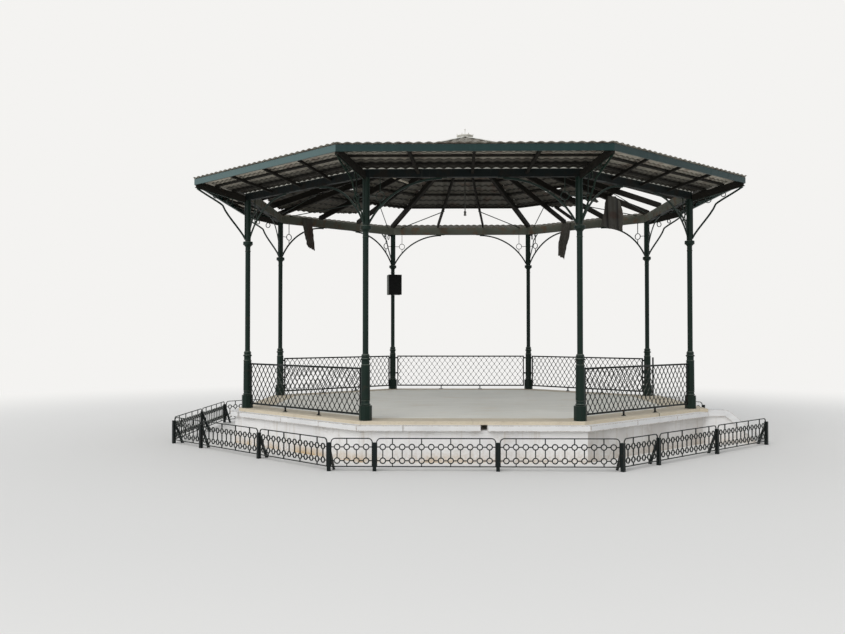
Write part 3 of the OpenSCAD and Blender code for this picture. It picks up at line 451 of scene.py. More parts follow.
def teal_gloss_paint():
    """Deep teal gloss paint on the fascia boards: painted reflection of the sky on the faces that look left,
    thin along the edges.
    """
    material, tree, place = start_material("teal_gloss_paint")
    clouds = patches(tree, place, 350, 0.35, 0.7)
    # Painted reflection: the faces that look left are lightened to grey teal, as if mirroring the bright sky
    painted_sky_reflection = facing(tree, "X", -0.2, -0.6)
    runs = patches(tree, place, 45, 0.5, 0.75, stretch=(1, 1, 0.15))
    bare = meet(tree, arris(tree, 10), patches(tree, place, 60, 0.46, 0.6, detail=8.0))
    grain = patches(tree, place, 12, 0.3, 0.7, stretch=(1, 1, 3), detail=3.0)
    colour = coats(tree, "#11302e", [
        (clouds, 0.5, "#0d2624"), (runs, 0.25, "#264440"), (painted_sky_reflection, 0.9, "#576c6b"), (bare, 0.6, "#4a544f")])
    dress(tree, colour, (runs, 0.35, 0.6), [(grain, 0.4), (bare, -0.4)], IOR=1.5, Specular_IOR_Level=0.3)
    return material


def speaker_shell():
    """Black ABS cabinet, textured: dull, dusty on top, lighter grey on the faces that look left."""
    material, tree, place = start_material("textured_abs")
    clouds = patches(tree, place, 160, 0.35, 0.7)
    pale_tops = meet(tree, facing(tree, "Z", 0.3, 0.9), patches(tree, place, 40, 0.3, 0.6))
    texture = patches(tree, place, 4, 0.3, 0.7, detail=2.0)
    lighter_left_faces = facing(tree, "X", -0.5, -0.9)
    colour = coats(tree, "#10110f", [
        (clouds, 0.5, "#181916"), (lighter_left_faces, 0.7, "#6d7166"), (pale_tops, 0.6, "#8a887c")])
    dress(tree, colour, (pale_tops, 0.5, 0.85), [(texture, 0.4)], IOR=1.5, Specular_IOR_Level=0.2)
    return material


def galvanised_rod():
    """Hot-dip galvanised rod and holder: dull grey metal with darker spangle."""
    material, tree, place = start_material("galvanised_steel")
    spangle = patches(tree, place, 12, 0.4, 0.6, detail=2.0)
    dull = patches(tree, place, 90, 0.4, 0.7)
    colour = coats(tree, "#8b8b86", [(spangle, 0.4, "#74746f"), (dull, 0.5, "#5c5a54")])
    dress(tree, colour, (dull, 0.4, 0.7), [(spangle, 0.2)], Metallic=1.0)
    return material


FINISHES = {
    "limewashed_wall": limewashed_render(),
    "painted_coping": painted_stone(),
    "stair_concrete": stair_concrete(),
    "deck_concrete": deck_concrete(),
    "border_stone": border_limestone(),
    "dark_green_iron": enamelled_cast_iron("green_cast_iron_paint", "#0f241b", "#0b1a14", 30, 0.5),
    "ring_beam_paint": ring_beam_paint(),
    "roof_timber": weathered_timber(),
    "roof_sheet": roof_sheet_steel(),
    "pale_capping": pale_capping_paint(),
    "teal_fascia": teal_gloss_paint(),
    "black_iron": enamelled_cast_iron("black_railing_paint", "#151b1a", "#0f1413", 20, 0.5),
    "fence_iron": enamelled_cast_iron("dark_fence_paint", "#101918", "#0b1312", 20, 0.6),
    "speaker_black": speaker_shell(),
    "lamp_metal": galvanised_rod(),
}
# Edges sharper than this stay sharp where a piece is shaded smooth
SHARP_ANGLE = math.radians(35)


def dress_frame():
    """Gives each CAD node the finish of its slot in the record."""
    for part in frame["record"]["subparts"]:
        for held in frame["nodes"][part["node"]].material_slots:
            held.material = FINISHES[part["material_slot"]]


def add_piece(name, shape, slot, hides=()):
    """Turns a bmesh into a piece that rides on the bandstand, with the finish of its slot."""
    mesh = bpy.data.meshes.new(name)
    shape.to_mesh(mesh)
    shape.free()
    mesh.set_sharp_from_angle(angle=SHARP_ANGLE)
    mesh.materials.append(FINISHES[slot])
    piece = bpy.data.objects.new(name, mesh)
    bpy.context.scene.collection.objects.link(piece)
    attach(piece, BODY)
    if hides:
        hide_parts(*hides)
    return piece


# Shapes that several pieces share

TURN_TO_Y = Matrix.Rotation(math.pi / 2, 4, "X")
UPRIGHT = Matrix.Identity(4)


def add_block(shape, low, high, edge=0.0):
    """Adds a block from its lowest to its highest corner; edge is how far its edges are rounded."""
    size = [b - a for a, b in zip(low, high)]
    middle = [(a + b) / 2 for a, b in zip(low, high)]
    placed = Matrix.Translation(middle) @ Matrix.Diagonal((*size, 1.0))
    made = set(bmesh.ops.create_cube(shape, size=1.0, matrix=placed)["verts"])
    if edge:
        edges = [held for held in shape.edges if held.verts[0] in made and held.verts[1] in made]
        bmesh.ops.bevel(shape, geom=edges, offset=edge, segments=2, profile=0.5, affect="EDGES", material=-1)


def add_nut(shape, place, across, thick, turn):
    """Adds a hexagonal nut; turn takes its axis from +Z to where it points."""
    bmesh.ops.create_cone(
        shape, cap_ends=True, segments=6, radius1=across / 2, radius2=across / 2, depth=thick,
        matrix=Matrix.Translation(place) @ turn)


def shade_smooth(shape):
    """Shades the faces smooth; add_piece keeps the sharp edges."""
    for face in shape.faces:
        face.smooth = True


def side_turn(side, size=4):
    """The turn from the stair side to another side."""
    return Matrix.Rotation(side * SIDE_TURN, size, "Z")


def on_side(side, distance, height):
    """Takes a shape drawn with x along a side, y inwards and z up to its place on that side."""
    return side_turn(side) @ Matrix.Translation((distance, 0, height)) @ Matrix.Rotation(math.pi / 2, 4, "Z")


def between(stops, place):
    """The value at a place between (place, value) stops, on straight lines from stop to stop."""
    for (start, value), (end, next_value) in zip(stops, stops[1:]):
        if place <= end:
            return value + (next_value - value) * (place - start) / (end - start)
    return stops[-1][1]


# Tile-effect roof sheets: waves across the slope, a small riser at the lower end of each course

WAVE_PITCH = 0.125
WAVE_STEPS = 8
# Below 1, the tops of the waves are broader than their valleys
WAVE_POWER = 0.8
SHEET_STEEL = 0.0012
ROOF_PITCH = 0.302
CANOPY_PITCH = 0.275
ROOF_WAVE = 0.017
CANOPY_WAVE = 0.016
RISER = 0.009
# Rusted holes: side, distance from the centre, place along the side, half sizes, seed
ROOF_HOLES = (
    (1, 2.255, 0.020, 0.018, 0.045, 3.1),
    (1, 2.170, -0.255, 0.045, 0.085, 7.4),
    (1, 2.605, -0.300, 0.017, 0.145, 5.2),
    (3, 2.30, 0.620, 0.014, 0.090, 9.7),
)
# How far from a hole the mesh is finer, its step there, and how ragged and how fine the rim is
HOLE_MARGIN = 0.16
HOLE_STEP = 0.012
HOLE_RAG = 0.9
HOLE_GRAIN = 22
# Lower edge of the sheets that reach past the eave of the inner roof: for a side, stops of
# (place along the side, distance from the centre)
LONG_EAVES = {
    1: ((-1.5, 2.70), (-0.74, 2.71), (-0.66, 2.93), (-0.56, 2.88), (-0.48, 2.73), (-0.36, 2.76),
        (-0.30, 2.95), (-0.07, 2.97), (0.30, 2.90), (0.53, 2.84), (0.56, 2.70), (1.5, 2.70)),
    3: ((-1.6, 2.71), (-0.62, 2.76), (-0.30, 2.75), (-0.26, 3.20), (0.1, 3.29), (0.5, 3.37), (1.6, 3.39)),
    4: ((-1.6, 3.42), (1.6, 3.42)),
}
# Step of the mesh past the eave, and how ragged and how fine that edge is
EAVE_STEP = 0.02
EAVE_RAG = 0.03
EAVE_GRAIN_ALONG = 16
EAVE_GRAIN_DOWN = 5
EAVE_SEED = 0.5


def course_rows(edges):
    """Rows of a sheet as (distance, lift); every course stands a riser proud where it starts."""
    rows = []
    for start, end in zip(edges, edges[1:]):
        rows += [(start, RISER), ((start + end) / 2, RISER / 2), (end, 0.0)]
    return rows


def longer_rows(rows, eave):
    """The same rows with more of them outside the first, as far as a long eave reaches."""
    edge = rows[0][0]
    end = max(distance for along, distance in eave) + EAVE_RAG
    steps = round((end - edge) / EAVE_STEP)
    return [(end + (edge - end) * i / steps, RISER * (1 - i / steps)) for i in range(steps)] + rows


def finer_rows(rows, near, far):
    """The same rows with more of them between two distances, where a sheet has a hole."""
    fine = rows[:1]
    for (start, lift), (end, next_lift) in zip(rows, rows[1:]):
        count = 1
        if near < (start + end) / 2 < far:
            count = max(1, round(abs(end - start) / HOLE_STEP))
        for i in range(1, count + 1):
            share = i / count
            fine.append((start + (end - start) * share, lift + (next_lift - lift) * share))
    return fine


def in_hole(place, holes):
    """Whether a place on the sheet lies inside the ragged rim of a hole."""
    for side, distance, along, half_distance, half_along, seed in holes:
        rim = 1 + HOLE_RAG * noise.noise(Vector((place.x * HOLE_GRAIN, place.y * HOLE_GRAIN, seed)))
        if math.hypot((place.x - distance) / half_distance, (place.y - along) / half_along) < rim:
            return True
    return False


def past_eave(place, eave):
    """Whether a place on the sheet lies outside its ragged lower edge, where it has one."""
    if not eave:
        return False
    grain = Vector((place.y * EAVE_GRAIN_ALONG, place.x * EAVE_GRAIN_DOWN, EAVE_SEED))
    return place.x > between(eave, place.y) + EAVE_RAG * noise.noise(grain)


def tile_sheet(name, side, rows, plane_height, pitch, wave_height, hides, holes=(), eave=()):
    """One side's sheet. plane_height is the height of its valleys at the distance 0."""
    for hole in holes:
        rows = finer_rows(rows, hole[1] - HOLE_MARGIN, hole[1] + HOLE_MARGIN)
    reach = max(distance for distance, lift in rows)
    half = math.ceil(reach * SIDE_TAN / WAVE_PITCH) * WAVE_PITCH
    columns = round(2 * half / WAVE_PITCH) * WAVE_STEPS
    shape = bmesh.new()
    bmesh.ops.create_grid(shape, x_segments=len(rows) - 1, y_segments=columns, size=1.0)
    for vert in shape.verts:
        distance, lift = rows[round((vert.co.x + 1) / 2 * (len(rows) - 1))]
        across = vert.co.y * half
        wave = (1 - math.cos(2 * math.pi * across / WAVE_PITCH)) / 2
        height = plane_height + pitch * distance + lift + wave_height * wave ** WAVE_POWER
        vert.co = (distance, across, height)
    for turn in (1, -1):
        bmesh.ops.bisect_plane(
            shape, geom=shape.verts[:] + shape.edges[:] + shape.faces[:], clear_outer=True,
            plane_co=(0, 0, 0), plane_no=(-SIDE_TAN, turn, 0))
    middles = [(face, face.calc_center_median()) for face in shape.faces]
    torn = [face for face, middle in middles if in_hole(middle, holes) or past_eave(middle, eave)]
    bmesh.ops.delete(shape, geom=torn, context="FACES")
    bmesh.ops.recalc_face_normals(shape, faces=shape.faces)
    if sum(face.normal.z for face in shape.faces) < 0:
        bmesh.ops.reverse_faces(shape, faces=shape.faces)
    bmesh.ops.solidify(shape, geom=shape.faces[:], thickness=-SHEET_STEEL)
    bmesh.ops.rotate(shape, verts=shape.verts, matrix=side_turn(side, 3))
    shade_smooth(shape)
    add_piece(name, shape, "roof_sheet", hides)


def tiled_roof():
    """The inner roof and the canopy, one sheet a side."""
    low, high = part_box("roof_sheets")
    inner_rows = course_rows((high.x,) + ROOF_COURSES)
    low_canopy, high_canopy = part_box("canopy_sheets")
    canopy_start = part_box("ring_beam")[1].x + CANOPY_GAP
    canopy_rows = course_rows((canopy_start,) + CANOPY_COURSES + (high_canopy.x,))
    for side, side_name in enumerate(SIDE_NAMES):
        holes = [hole for hole in ROOF_HOLES if hole[0] == side]
        eave = LONG_EAVES.get(side, ())
        rows = longer_rows(inner_rows, eave) if eave else inner_rows
        tile_sheet("roof_tiles_" + side_name, side, rows, low.z + ROOF_PITCH * high.x, -ROOF_PITCH,
                   ROOF_WAVE, ("roof_sheets",), holes, eave)
        tile_sheet("canopy_tiles_" + side_name, side, canopy_rows, low_canopy.z - CANOPY_PITCH * canopy_start,
                   CANOPY_PITCH, CANOPY_WAVE, ("canopy_sheets",))


# Torn pieces of the roof sheets that hang from the ring beam and from a hip

TORN_ACROSS = 28
TORN_DOWN = 40
TORN_WAVE = 0.007
TORN_CURL = 0.02
# How ragged and how fine the lower edge and the two long edges are
TORN_RAG = 0.045
TORN_RAG_GRAIN = 7
TORN_NICK = 0.012
TORN_NICK_GRAIN = 11
STRIP_GAP = 0.014
BROAD_SHEET_GAP = 0.012


def torn_sheet(name, place, length, left, right, bend, slant, seed):
    """A hanging strip: left, right and bend are (share of the length, metres) stops down its edges."""
    shape = bmesh.new()
    bmesh.ops.create_grid(shape, x_segments=TORN_ACROSS, y_segments=TORN_DOWN, size=1.0)
    for vert in shape.verts:
        share = (1 + vert.co.x) / 2
        down = (1 - vert.co.y) / 2
        to_edge = 2 * share - 1
        ragged = TORN_RAG * noise.noise(Vector((share * TORN_RAG_GRAIN, seed, 0.0)))
        reach = length * (1 + slant * (share - 0.5) + ragged * down)
        nick = TORN_NICK * noise.noise(Vector((down * TORN_NICK_GRAIN, seed, share))) * to_edge
        along = between(left, down) * (1 - share) + between(right, down) * share + nick
        fold = TORN_WAVE * math.cos(2 * math.pi * along / WAVE_PITCH)
        vert.co = (along, between(bend, down) + fold + TORN_CURL * down * to_edge ** 2, -reach * down)
    bmesh.ops.recalc_face_normals(shape, faces=shape.faces)
    bmesh.ops.solidify(shape, geom=shape.faces[:], thickness=SHEET_STEEL)
    bmesh.ops.transform(shape, matrix=place, verts=shape.verts)
    shade_smooth(shape)
    add_piece(name, shape, "roof_sheet", ("loose_sheets",))


def torn_sheets():
    """Two strips on the inner face of the ring beam and a broad sheet on the side of a hip."""
    beam_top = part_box("ring_beam")[1]
    strip_distance = beam_top.x - BEAM_WIDTH - STRIP_GAP
    torn_sheet(
        "torn_strip_right", on_side(1, strip_distance, beam_top.z), length=0.68, slant=-0.12, seed=1.7,
        left=((0, 0.29), (0.45, 0.29), (0.7, 0.34), (1, 0.40)),
        right=((0, 0.49), (0.55, 0.52), (1, 0.56)),
        bend=((0, 0.0), (0.25, 0.004), (0.6, 0.06), (1, 0.03)))
    torn_sheet(
        "torn_strip_left", on_side(3, strip_distance, beam_top.z), length=0.58, slant=-0.16, seed=4.3,
        left=((0, 0.71), (1, 0.71)),
        right=((0, 0.94), (0.5, 0.93), (1, 0.90)),
        bend=((0, 0.0), (0.3, 0.01), (1, 0.07)))
    hip_side = Matrix.Translation((0, -HIP_WIDTH / 2 - BROAD_SHEET_GAP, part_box("loose_sheets")[1].z))
    torn_sheet(
        "torn_broad_sheet", side_turn(0.5) @ hip_side, length=0.60, slant=0.10, seed=8.8,
        left=((0, 2.78), (0.12, 2.76), (0.47, 2.71), (1, 2.61)),
        right=((0, 2.97), (0.12, 3.05), (0.4, 3.11), (0.6, 3.11), (1, 3.05)),
        bend=((0, 0.0), (0.3, -0.01), (0.7, -0.05), (1, -0.09)))


# Timber of the roof that isn't part of its regular frame

TIMBER_EDGE = 0.002


def under_roof(place, drop):
    """A (distance, along) place, the drop below the underside of the inner roof's sheets."""
    low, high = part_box("roof_sheets")
    distance, along = place
    return Vector((distance, along, low.z + ROOF_PITCH * (high.x - distance) - drop))


def roof_batten(name, side, start, end, width, depth, drop):
    """A batten under the sheets of a side, from one (distance, along) place to another."""
    first = under_roof(start, drop)
    run = under_roof(end, drop) - first
    shape = bmesh.new()
    add_block(shape, (0, -width / 2, -depth / 2), (run.length, width / 2, depth / 2), TIMBER_EDGE)
    aim = run.to_track_quat("X", "Z").to_matrix().to_4x4()
    bmesh.ops.transform(
        shape, verts=shape.verts, matrix=side_turn(side) @ Matrix.Translation(first) @ aim)
    return add_piece(name, shape, "roof_timber")


def loose_timber():
    """A slipped rafter on the right rear side and a newer pale batten on the left rear side."""
    roof_batten(
        "slipped_rafter", 1, (2.74, 0.20), (3.335, 0.235), width=0.050, depth=0.045, drop=0.055)
    pale = roof_batten(
        "pale_batten", 3, (1.446, 0.485), (1.597, -0.169), width=0.030, depth=0.022, drop=0.075)
    pale.data.materials[0] = bleached_timber()


# Deck railings: waved flat bars between thin rails, on small feet, with lugs to the columns

RAILINGS = (("railing_rear_right", 1), ("railing_rear", 2), ("railing_rear_left", 3),
            ("railing_front_left", 5), ("railing_front_right", 7))
RAIL_HALF = 1.307
RAIL_FOOT = 0.062
RAIL_BAR = 0.025
END_BAR = 0.021
HAND_RAIL_RISE = 0.009
# Half the thickness of the flat bars, and how far their edges are rounded
BAR_HALF = 0.008
BAR_EDGE = 0.0015
THIN_EDGE = 0.001
HAND_RAIL_EDGE = 0.004
LATTICE_PAIRS = 24
LATTICE_ROWS = 4
LATTICE_BAR = 0.008
LATTICE_DEPTH = 0.010
# How far the lattice runs into the rails
LATTICE_SINK = 0.001
# Points along one wave, and how soon a bar reaches its neighbour and runs beside it
LATTICE_STEPS = 14
LATTICE_LEAN = 1.4
# Lugs: height of the lower one, drop of the upper one, height, half thickness, and where the bolt is
LOWER_LUG = 0.315
UPPER_LUG_DROP = 0.06
LUG_HEIGHT = 0.03
LUG_HALF = 0.004
LUG_BOLT = 0.02
# Feet: places along the railing, half width of the upright, half length and thickness of the plate
RAIL_FEET = (-0.4, 0.4)
FOOT_HALF = 0.01
PLATE_HALF = 0.04
PLATE_THICK = 0.006
PLATE_BOLT = 0.028
# How far an upright stands in its plate
FOOT_SINK = 0.002
# Nuts: width across and thickness, and the height of their middle on a plate
LUG_NUT = (0.018, 0.009)
PLATE_NUT = (0.016, 0.009)
PLATE_NUT_HEIGHT = 0.010


def waved_bars(shape, foot, height):
    """The lattice: every bar sways to meet one neighbour and then the other."""
    pitch = (RAIL_HALF - END_BAR) / LATTICE_PAIRS
    for bar in range(2 * LATTICE_PAIRS):
        sway = (pitch - LATTICE_BAR) / 2 * (1 if bar % 2 == 0 else -1)
        verts = bmesh.ops.create_grid(
            shape, x_segments=1, y_segments=LATTICE_ROWS * LATTICE_STEPS, size=1.0)["verts"]
        for vert in verts:
            rise = (vert.co.y + 1) / 2
            turn = rise * LATTICE_ROWS % 1.0
            lean = LATTICE_LEAN * (4 * abs(turn - 0.5) - 1)
            middle = (bar + 0.5) * pitch - LATTICE_PAIRS * pitch + sway * max(-1.0, min(1.0, lean))
            vert.co = (middle + vert.co.x * LATTICE_BAR / 2, -LATTICE_DEPTH / 2, foot + rise * height)
    bmesh.ops.solidify(shape, geom=shape.faces[:], thickness=LATTICE_DEPTH)
    bmesh.ops.recalc_face_normals(shape, faces=shape.faces)
    drift = sum(vert.co.y for vert in shape.verts) / len(shape.verts)
    bmesh.ops.translate(shape, verts=shape.verts, vec=(0, -drift, 0))


def railing(node, side):
    """One railing in place of its plain CAD node, drawn with x along it and z up from the deck."""
    low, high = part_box("railing_rear")
    top = high.z - low.z
    under_hand_rail = top - HAND_RAIL_RISE
    lattice_foot = RAIL_FOOT + RAIL_BAR
    half_depth = (high.y - low.y) / 2
    shape = bmesh.new()
    waved_bars(shape, lattice_foot - LATTICE_SINK, top - lattice_foot - RAIL_BAR + 2 * LATTICE_SINK)
    add_block(shape, (-RAIL_HALF, -BAR_HALF, RAIL_FOOT), (RAIL_HALF, BAR_HALF, lattice_foot), BAR_EDGE)
    add_block(shape, (-RAIL_HALF, -BAR_HALF, top - RAIL_BAR),
              (RAIL_HALF, BAR_HALF, under_hand_rail), THIN_EDGE)
    add_block(shape, (-RAIL_HALF, -half_depth, under_hand_rail), (RAIL_HALF, half_depth, top), HAND_RAIL_EDGE)
    for turn in (-1, 1):
        bar = sorted((turn * RAIL_HALF, turn * (RAIL_HALF - END_BAR)))
        add_block(shape, (bar[0], -BAR_HALF, RAIL_FOOT), (bar[1], BAR_HALF, under_hand_rail), BAR_EDGE)
        lug = sorted((turn * high.x, turn * (RAIL_HALF - END_BAR / 2)))
        for height in (LOWER_LUG, top - UPPER_LUG_DROP):
            add_block(shape, (lug[0], -LUG_HALF, height), (lug[1], LUG_HALF, height + LUG_HEIGHT), THIN_EDGE)
            bolt = (turn * (RAIL_HALF + LUG_BOLT), -BAR_HALF, height + LUG_HEIGHT / 2)
            add_nut(shape, bolt, *LUG_NUT, TURN_TO_Y)
    for along in RAIL_FEET:
        add_block(shape, (along - FOOT_HALF, -FOOT_HALF, PLATE_THICK - FOOT_SINK),
                  (along + FOOT_HALF, FOOT_HALF, RAIL_FOOT), THIN_EDGE)
        add_block(shape, (along - PLATE_HALF, -half_depth, 0.0),
                  (along + PLATE_HALF, half_depth, PLATE_THICK), BAR_EDGE)
        for bolt in (-PLATE_BOLT, PLATE_BOLT):
            add_nut(shape, (along + bolt, 0, PLATE_NUT_HEIGHT), *PLATE_NUT, UPRIGHT)
    bmesh.ops.transform(
        shape, matrix=on_side(side, (low.y + high.y) / 2, low.z), verts=shape.verts)
    add_piece("waved_" + node, shape, "black_iron", (node,))


# End post left of a railing that closed the stair, beside the right rear column

STUB_PLACE = (3.50, 1.47)
STUB_TOP = 0.70
STUB_HALF = 0.014
STUB_PLATE = (0.035, 0.045)
STUB_BOLT = 0.03
STUB_LUG_DROP = 0.09
STUB_LUG_END = -0.006


def railing_stub():
    """A flat iron post on a bolted foot, with the lug that held its rail."""
    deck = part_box("deck_border")[1].z
    lug_foot = STUB_TOP - STUB_LUG_DROP
    plate_x, plate_y = STUB_PLATE
    shape = bmesh.new()
    add_block(shape, (-STUB_HALF, -BAR_HALF, PLATE_THICK - FOOT_SINK),
              (STUB_HALF, BAR_HALF, STUB_TOP), BAR_EDGE)
    add_block(shape, (-plate_x, -plate_y, 0.0), (plate_x, plate_y, PLATE_THICK), BAR_EDGE)
    add_block(shape, (-LUG_HALF, -plate_y, lug_foot),
              (LUG_HALF, STUB_LUG_END, lug_foot + LUG_HEIGHT), THIN_EDGE)
    for bolt in (-STUB_BOLT, STUB_BOLT):
        add_nut(shape, (0.0, bolt, PLATE_NUT_HEIGHT), *PLATE_NUT, UPRIGHT)
    bmesh.ops.translate(shape, verts=shape.verts, vec=(*STUB_PLACE, deck))
    add_piece("railing_stub", shape, "black_iron")


# Loudspeaker: cabinet, rim and slats of its grille, and two clamps round the column

SPEAKER_TURN = math.radians(13)
SPEAKER_LIP = 0.012
SPEAKER_EDGE = 0.010
RIM_WIDTH = 0.018
RIM_DEPTH = 0.02
RIM_EDGE = 0.003
GRILLE_SLATS = 26
# Slats: how far they start and end inside the cabinet, their front and back, and share of their pitch
GRILLE_MARGIN = 0.022
SLAT_MARGIN = 0.016
SLAT_FRONT = 0.004
SLAT_BACK = 0.014
SLAT_SHARE = 0.6
# Clamps: height of the lower one, drop of the upper one, their band, bracket and bolts
LOWER_CLAMP = 0.06
UPPER_CLAMP_DROP = 0.10
CLAMP_BAND = 0.04
CLAMP_STEEL = 0.004
CLAMP_SEGMENTS = 24
BRACKET_HALF = 0.05
BRACKET_FRONT = -0.002
BRACKET_BACK = 0.018
BRACKET_EDGE = 0.002
CLAMP_BOLT = (0.044, 0.022)
CLAMP_NUT = (0.016, 0.010)


def clamp_band(shape, place):
    """A thin steel band round the column, its lower edge at a place on the column's axis."""
    ring = set(bmesh.ops.create_circle(
        shape, segments=CLAMP_SEGMENTS, radius=CLAMP_RADIUS, matrix=Matrix.Translation(place))["verts"])
    edges = [held for held in shape.edges if held.verts[0] in ring and held.verts[1] in ring]
    raised = bmesh.ops.extrude_edge_only(shape, edges=edges)["geom"]
    lifted = [held for held in raised if isinstance(held, bmesh.types.BMVert)]
    bmesh.ops.translate(shape, verts=lifted, vec=(0, 0, CLAMP_BAND))
    wall = [held for held in raised if isinstance(held, bmesh.types.BMFace)]
    bmesh.ops.solidify(shape, geom=wall, thickness=CLAMP_STEEL)


def loudspeaker():
    """Cabinet with a slatted grille, turned on its clamps towards the stair."""
    low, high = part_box("loudspeaker")
    post_low, post_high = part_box("column_rear_left")
    axis = Vector(((post_low.x + post_high.x) / 2, (post_low.y + post_high.y) / 2, 0))
    back = low.y + SPEAKER_DEPTH
    shape = bmesh.new()
    add_block(shape, (low.x, low.y + SPEAKER_LIP, low.z), (high.x, back, high.z), SPEAKER_EDGE)
    stiles = ((low.x, low.x + RIM_WIDTH), (high.x - RIM_WIDTH, high.x))
    rails = ((low.z, low.z + RIM_WIDTH), (high.z - RIM_WIDTH, high.z))
    for (left, right), (foot, top) in zip(stiles, rails):
        add_block(shape, (left, low.y, low.z), (right, low.y + RIM_DEPTH, high.z), RIM_EDGE)
        add_block(shape, (low.x, low.y, foot), (high.x, low.y + RIM_DEPTH, top), RIM_EDGE)
    step = (high.z - low.z - 2 * GRILLE_MARGIN) / GRILLE_SLATS
    for slat in range(GRILLE_SLATS):
        height = low.z + GRILLE_MARGIN + slat * step
        add_block(shape, (low.x + SLAT_MARGIN, low.y + SLAT_FRONT, height),
                  (high.x - SLAT_MARGIN, low.y + SLAT_BACK, height + SLAT_SHARE * step))
    for height in (low.z + LOWER_CLAMP, high.z - UPPER_CLAMP_DROP):
        add_block(shape, (axis.x - BRACKET_HALF, back + BRACKET_FRONT, height),
                  (axis.x + BRACKET_HALF, back + BRACKET_BACK, height + CLAMP_BAND), BRACKET_EDGE)
        clamp_band(shape, (axis.x, axis.y, height))
        for turn in (-1, 1):
            bolt = (axis.x + turn * CLAMP_BOLT[0], back + CLAMP_BOLT[1], height + CLAMP_BAND / 2)
            add_nut(shape, bolt, *CLAMP_NUT, TURN_TO_Y)
    bmesh.ops.recalc_face_normals(shape, faces=shape.faces)
    bmesh.ops.rotate(shape, verts=shape.verts, cent=axis, matrix=Matrix.Rotation(SPEAKER_TURN, 3, "Z"))
    add_piece("loudspeaker_cabinet", shape, "speaker_black", ("loudspeaker",))


# Hanging lamp: profile from its lowest point up to the rod, as (radius, height)

LAMP_PROFILE = (
    (0.0, 0.004), (0.013, 0.004), (0.015, 0.0), (0.021, 0.0), (0.023, 0.006), (0.023, 0.018),
    (0.019, 0.022), (0.018, 0.050), (0.022, 0.054), (0.022, 0.064), (0.012, 0.078), (0.0085, 0.090))
LAMP_ROD_RADIUS = 0.0085
# Length over which the rod tapers to the point that it hangs from
LAMP_TAPER = 0.02
LAMP_SEGMENTS = 20
SAME_POINT = 1e-5


def hanging_lamp():
    """A thin rod that tapers at its top, with a galvanised gallery and an empty lamp holder below."""
    low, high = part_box("lamp_rod")
    length = high.z - low.z
    outline = LAMP_PROFILE + ((LAMP_ROD_RADIUS, length - LAMP_TAPER), (0.0, length))
    shape = bmesh.new()
    points = [shape.verts.new((radius, 0, height)) for radius, height in outline]
    line = [shape.edges.new(pair) for pair in zip(points, points[1:])]
    bmesh.ops.spin(
        shape, geom=points + line, cent=(0, 0, 0), axis=(0, 0, 1), angle=2 * math.pi, steps=LAMP_SEGMENTS,
        use_merge=True)
    bmesh.ops.remove_doubles(shape, verts=shape.verts, dist=SAME_POINT)
    bmesh.ops.recalc_face_normals(shape, faces=shape.faces)
    bmesh.ops.translate(shape, verts=shape.verts, vec=(0, 0, low.z))
    shade_smooth(shape)
    add_piece("lamp_holder_on_rod", shape, "lamp_metal", ("lamp_rod",))


# Stage, light and camera

BACKDROP = "#f4f3f1"
FLOOR_COLOUR = "#e9e7e3"
FLOOR_REACH = 60.0
FLOOR_SEGMENTS = 64
# Distances from the centre between which the floor fades into the backdrop
FLOOR_FADE = (8.0, 16.0)
SKY_COLOUR = "#eef1f5"
SKY_STRENGTH = 0.8
# Sun lamp: strength, the angle that it fills, its aim up from straight down, and round from the rear,
# where minus is to the right, in degrees
SUN_STRENGTH = 1.2
SUN_WIDTH = 40
SUN_TILT = 56
SUN_TURN = -32
# Camera fitted to the photograph, 845 by 634: place, degrees to the left and up, lens and sensor in mm
CAMERA_PLACE = (-0.429, -15.020, 1.650)
CAMERA_YAW = 1.109
CAMERA_PITCH = 1.116
LENS = 37.894
SENSOR = 36.0
VIEW_END = 500


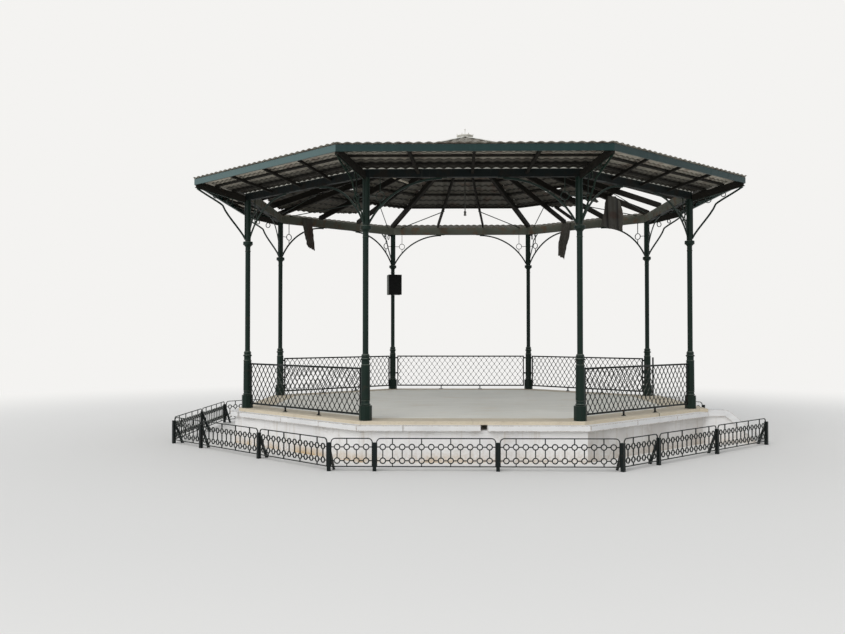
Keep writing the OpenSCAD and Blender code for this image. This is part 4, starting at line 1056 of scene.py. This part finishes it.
def pale_floor():
    """A pale floor that takes the shadow and fades into the backdrop away from the bandstand."""
    material, tree, place = start_material("pale_floor")
    flat = add_node(tree, "ShaderNodeVectorMath", {0: place}, operation="LENGTH").outputs["Value"]
    far = add_node(tree, "ShaderNodeMapRange", {
        "Value": flat, "From Min": FLOOR_FADE[0], "From Max": FLOOR_FADE[1]},
        interpolation_type="SMOOTHSTEP").outputs[0]
    seen = add_node(tree, "ShaderNodeLightPath").outputs["Is Camera Ray"]
    matt = add_node(tree, "ShaderNodeBsdfDiffuse", {"Color": linear(FLOOR_COLOUR)}).outputs[0]
    glow = add_node(tree, "ShaderNodeEmission", {"Color": linear(BACKDROP)}).outputs[0]
    mixed = add_node(tree, "ShaderNodeMixShader", {0: meet(tree, far, seen), 1: matt, 2: glow}).outputs[0]
    add_node(tree, "ShaderNodeOutputMaterial", {"Surface": mixed})
    mesh = bpy.data.meshes.new("floor")
    shape = bmesh.new()
    bmesh.ops.create_circle(shape, cap_ends=True, segments=FLOOR_SEGMENTS, radius=FLOOR_REACH)
    shape.to_mesh(mesh)
    shape.free()
    floor = bpy.data.objects.new("floor", mesh)
    bpy.context.scene.collection.objects.link(floor)
    mesh.materials.append(material)


def studio_light():
    """An even pale sky and one soft sun lamp that shines from the front left."""
    world = bpy.data.worlds.new("studio")
    bpy.context.scene.world = world
    world.use_nodes = True
    tree = world.node_tree
    tree.nodes.clear()
    path = add_node(tree, "ShaderNodeLightPath")
    shown = combine(tree, "ADD", path.outputs["Is Camera Ray"], path.outputs["Is Transmission Ray"])
    even = add_node(tree, "ShaderNodeBackground", {
        "Color": linear(SKY_COLOUR), "Strength": SKY_STRENGTH}).outputs[0]
    backdrop = add_node(tree, "ShaderNodeBackground", {"Color": linear(BACKDROP), "Strength": 1.0}).outputs[0]
    mixed = add_node(tree, "ShaderNodeMixShader", {0: shown, 1: even, 2: backdrop}).outputs[0]
    add_node(tree, "ShaderNodeOutputWorld", {"Surface": mixed})
    sun = bpy.data.lights.new("soft_sun", "SUN")
    sun.energy = SUN_STRENGTH
    sun.angle = math.radians(SUN_WIDTH)
    holder = bpy.data.objects.new("soft_sun", sun)
    holder.rotation_euler = (math.radians(SUN_TILT), 0, math.radians(SUN_TURN))
    bpy.context.scene.collection.objects.link(holder)


def photo_camera():
    """The camera at the photograph's viewing angle."""
    camera = bpy.data.cameras.new("camera")
    camera.sensor_fit = "HORIZONTAL"
    camera.sensor_width = SENSOR
    camera.lens = LENS
    camera.clip_end = VIEW_END
    holder = bpy.data.objects.new("camera", camera)
    holder.location = CAMERA_PLACE
    holder.rotation_euler = (math.radians(90 + CAMERA_PITCH), 0, math.radians(CAMERA_YAW))
    bpy.context.scene.collection.objects.link(holder)
    bpy.context.scene.camera = holder


dress_frame()
tiled_roof()
torn_sheets()
loose_timber()
railing_stub()
for railing_node, railing_side in RAILINGS:
    railing(railing_node, railing_side)
loudspeaker()
hanging_lamp()
pale_floor()
studio_light()
photo_camera()
bpy.context.scene.view_settings.view_transform = "Standard"
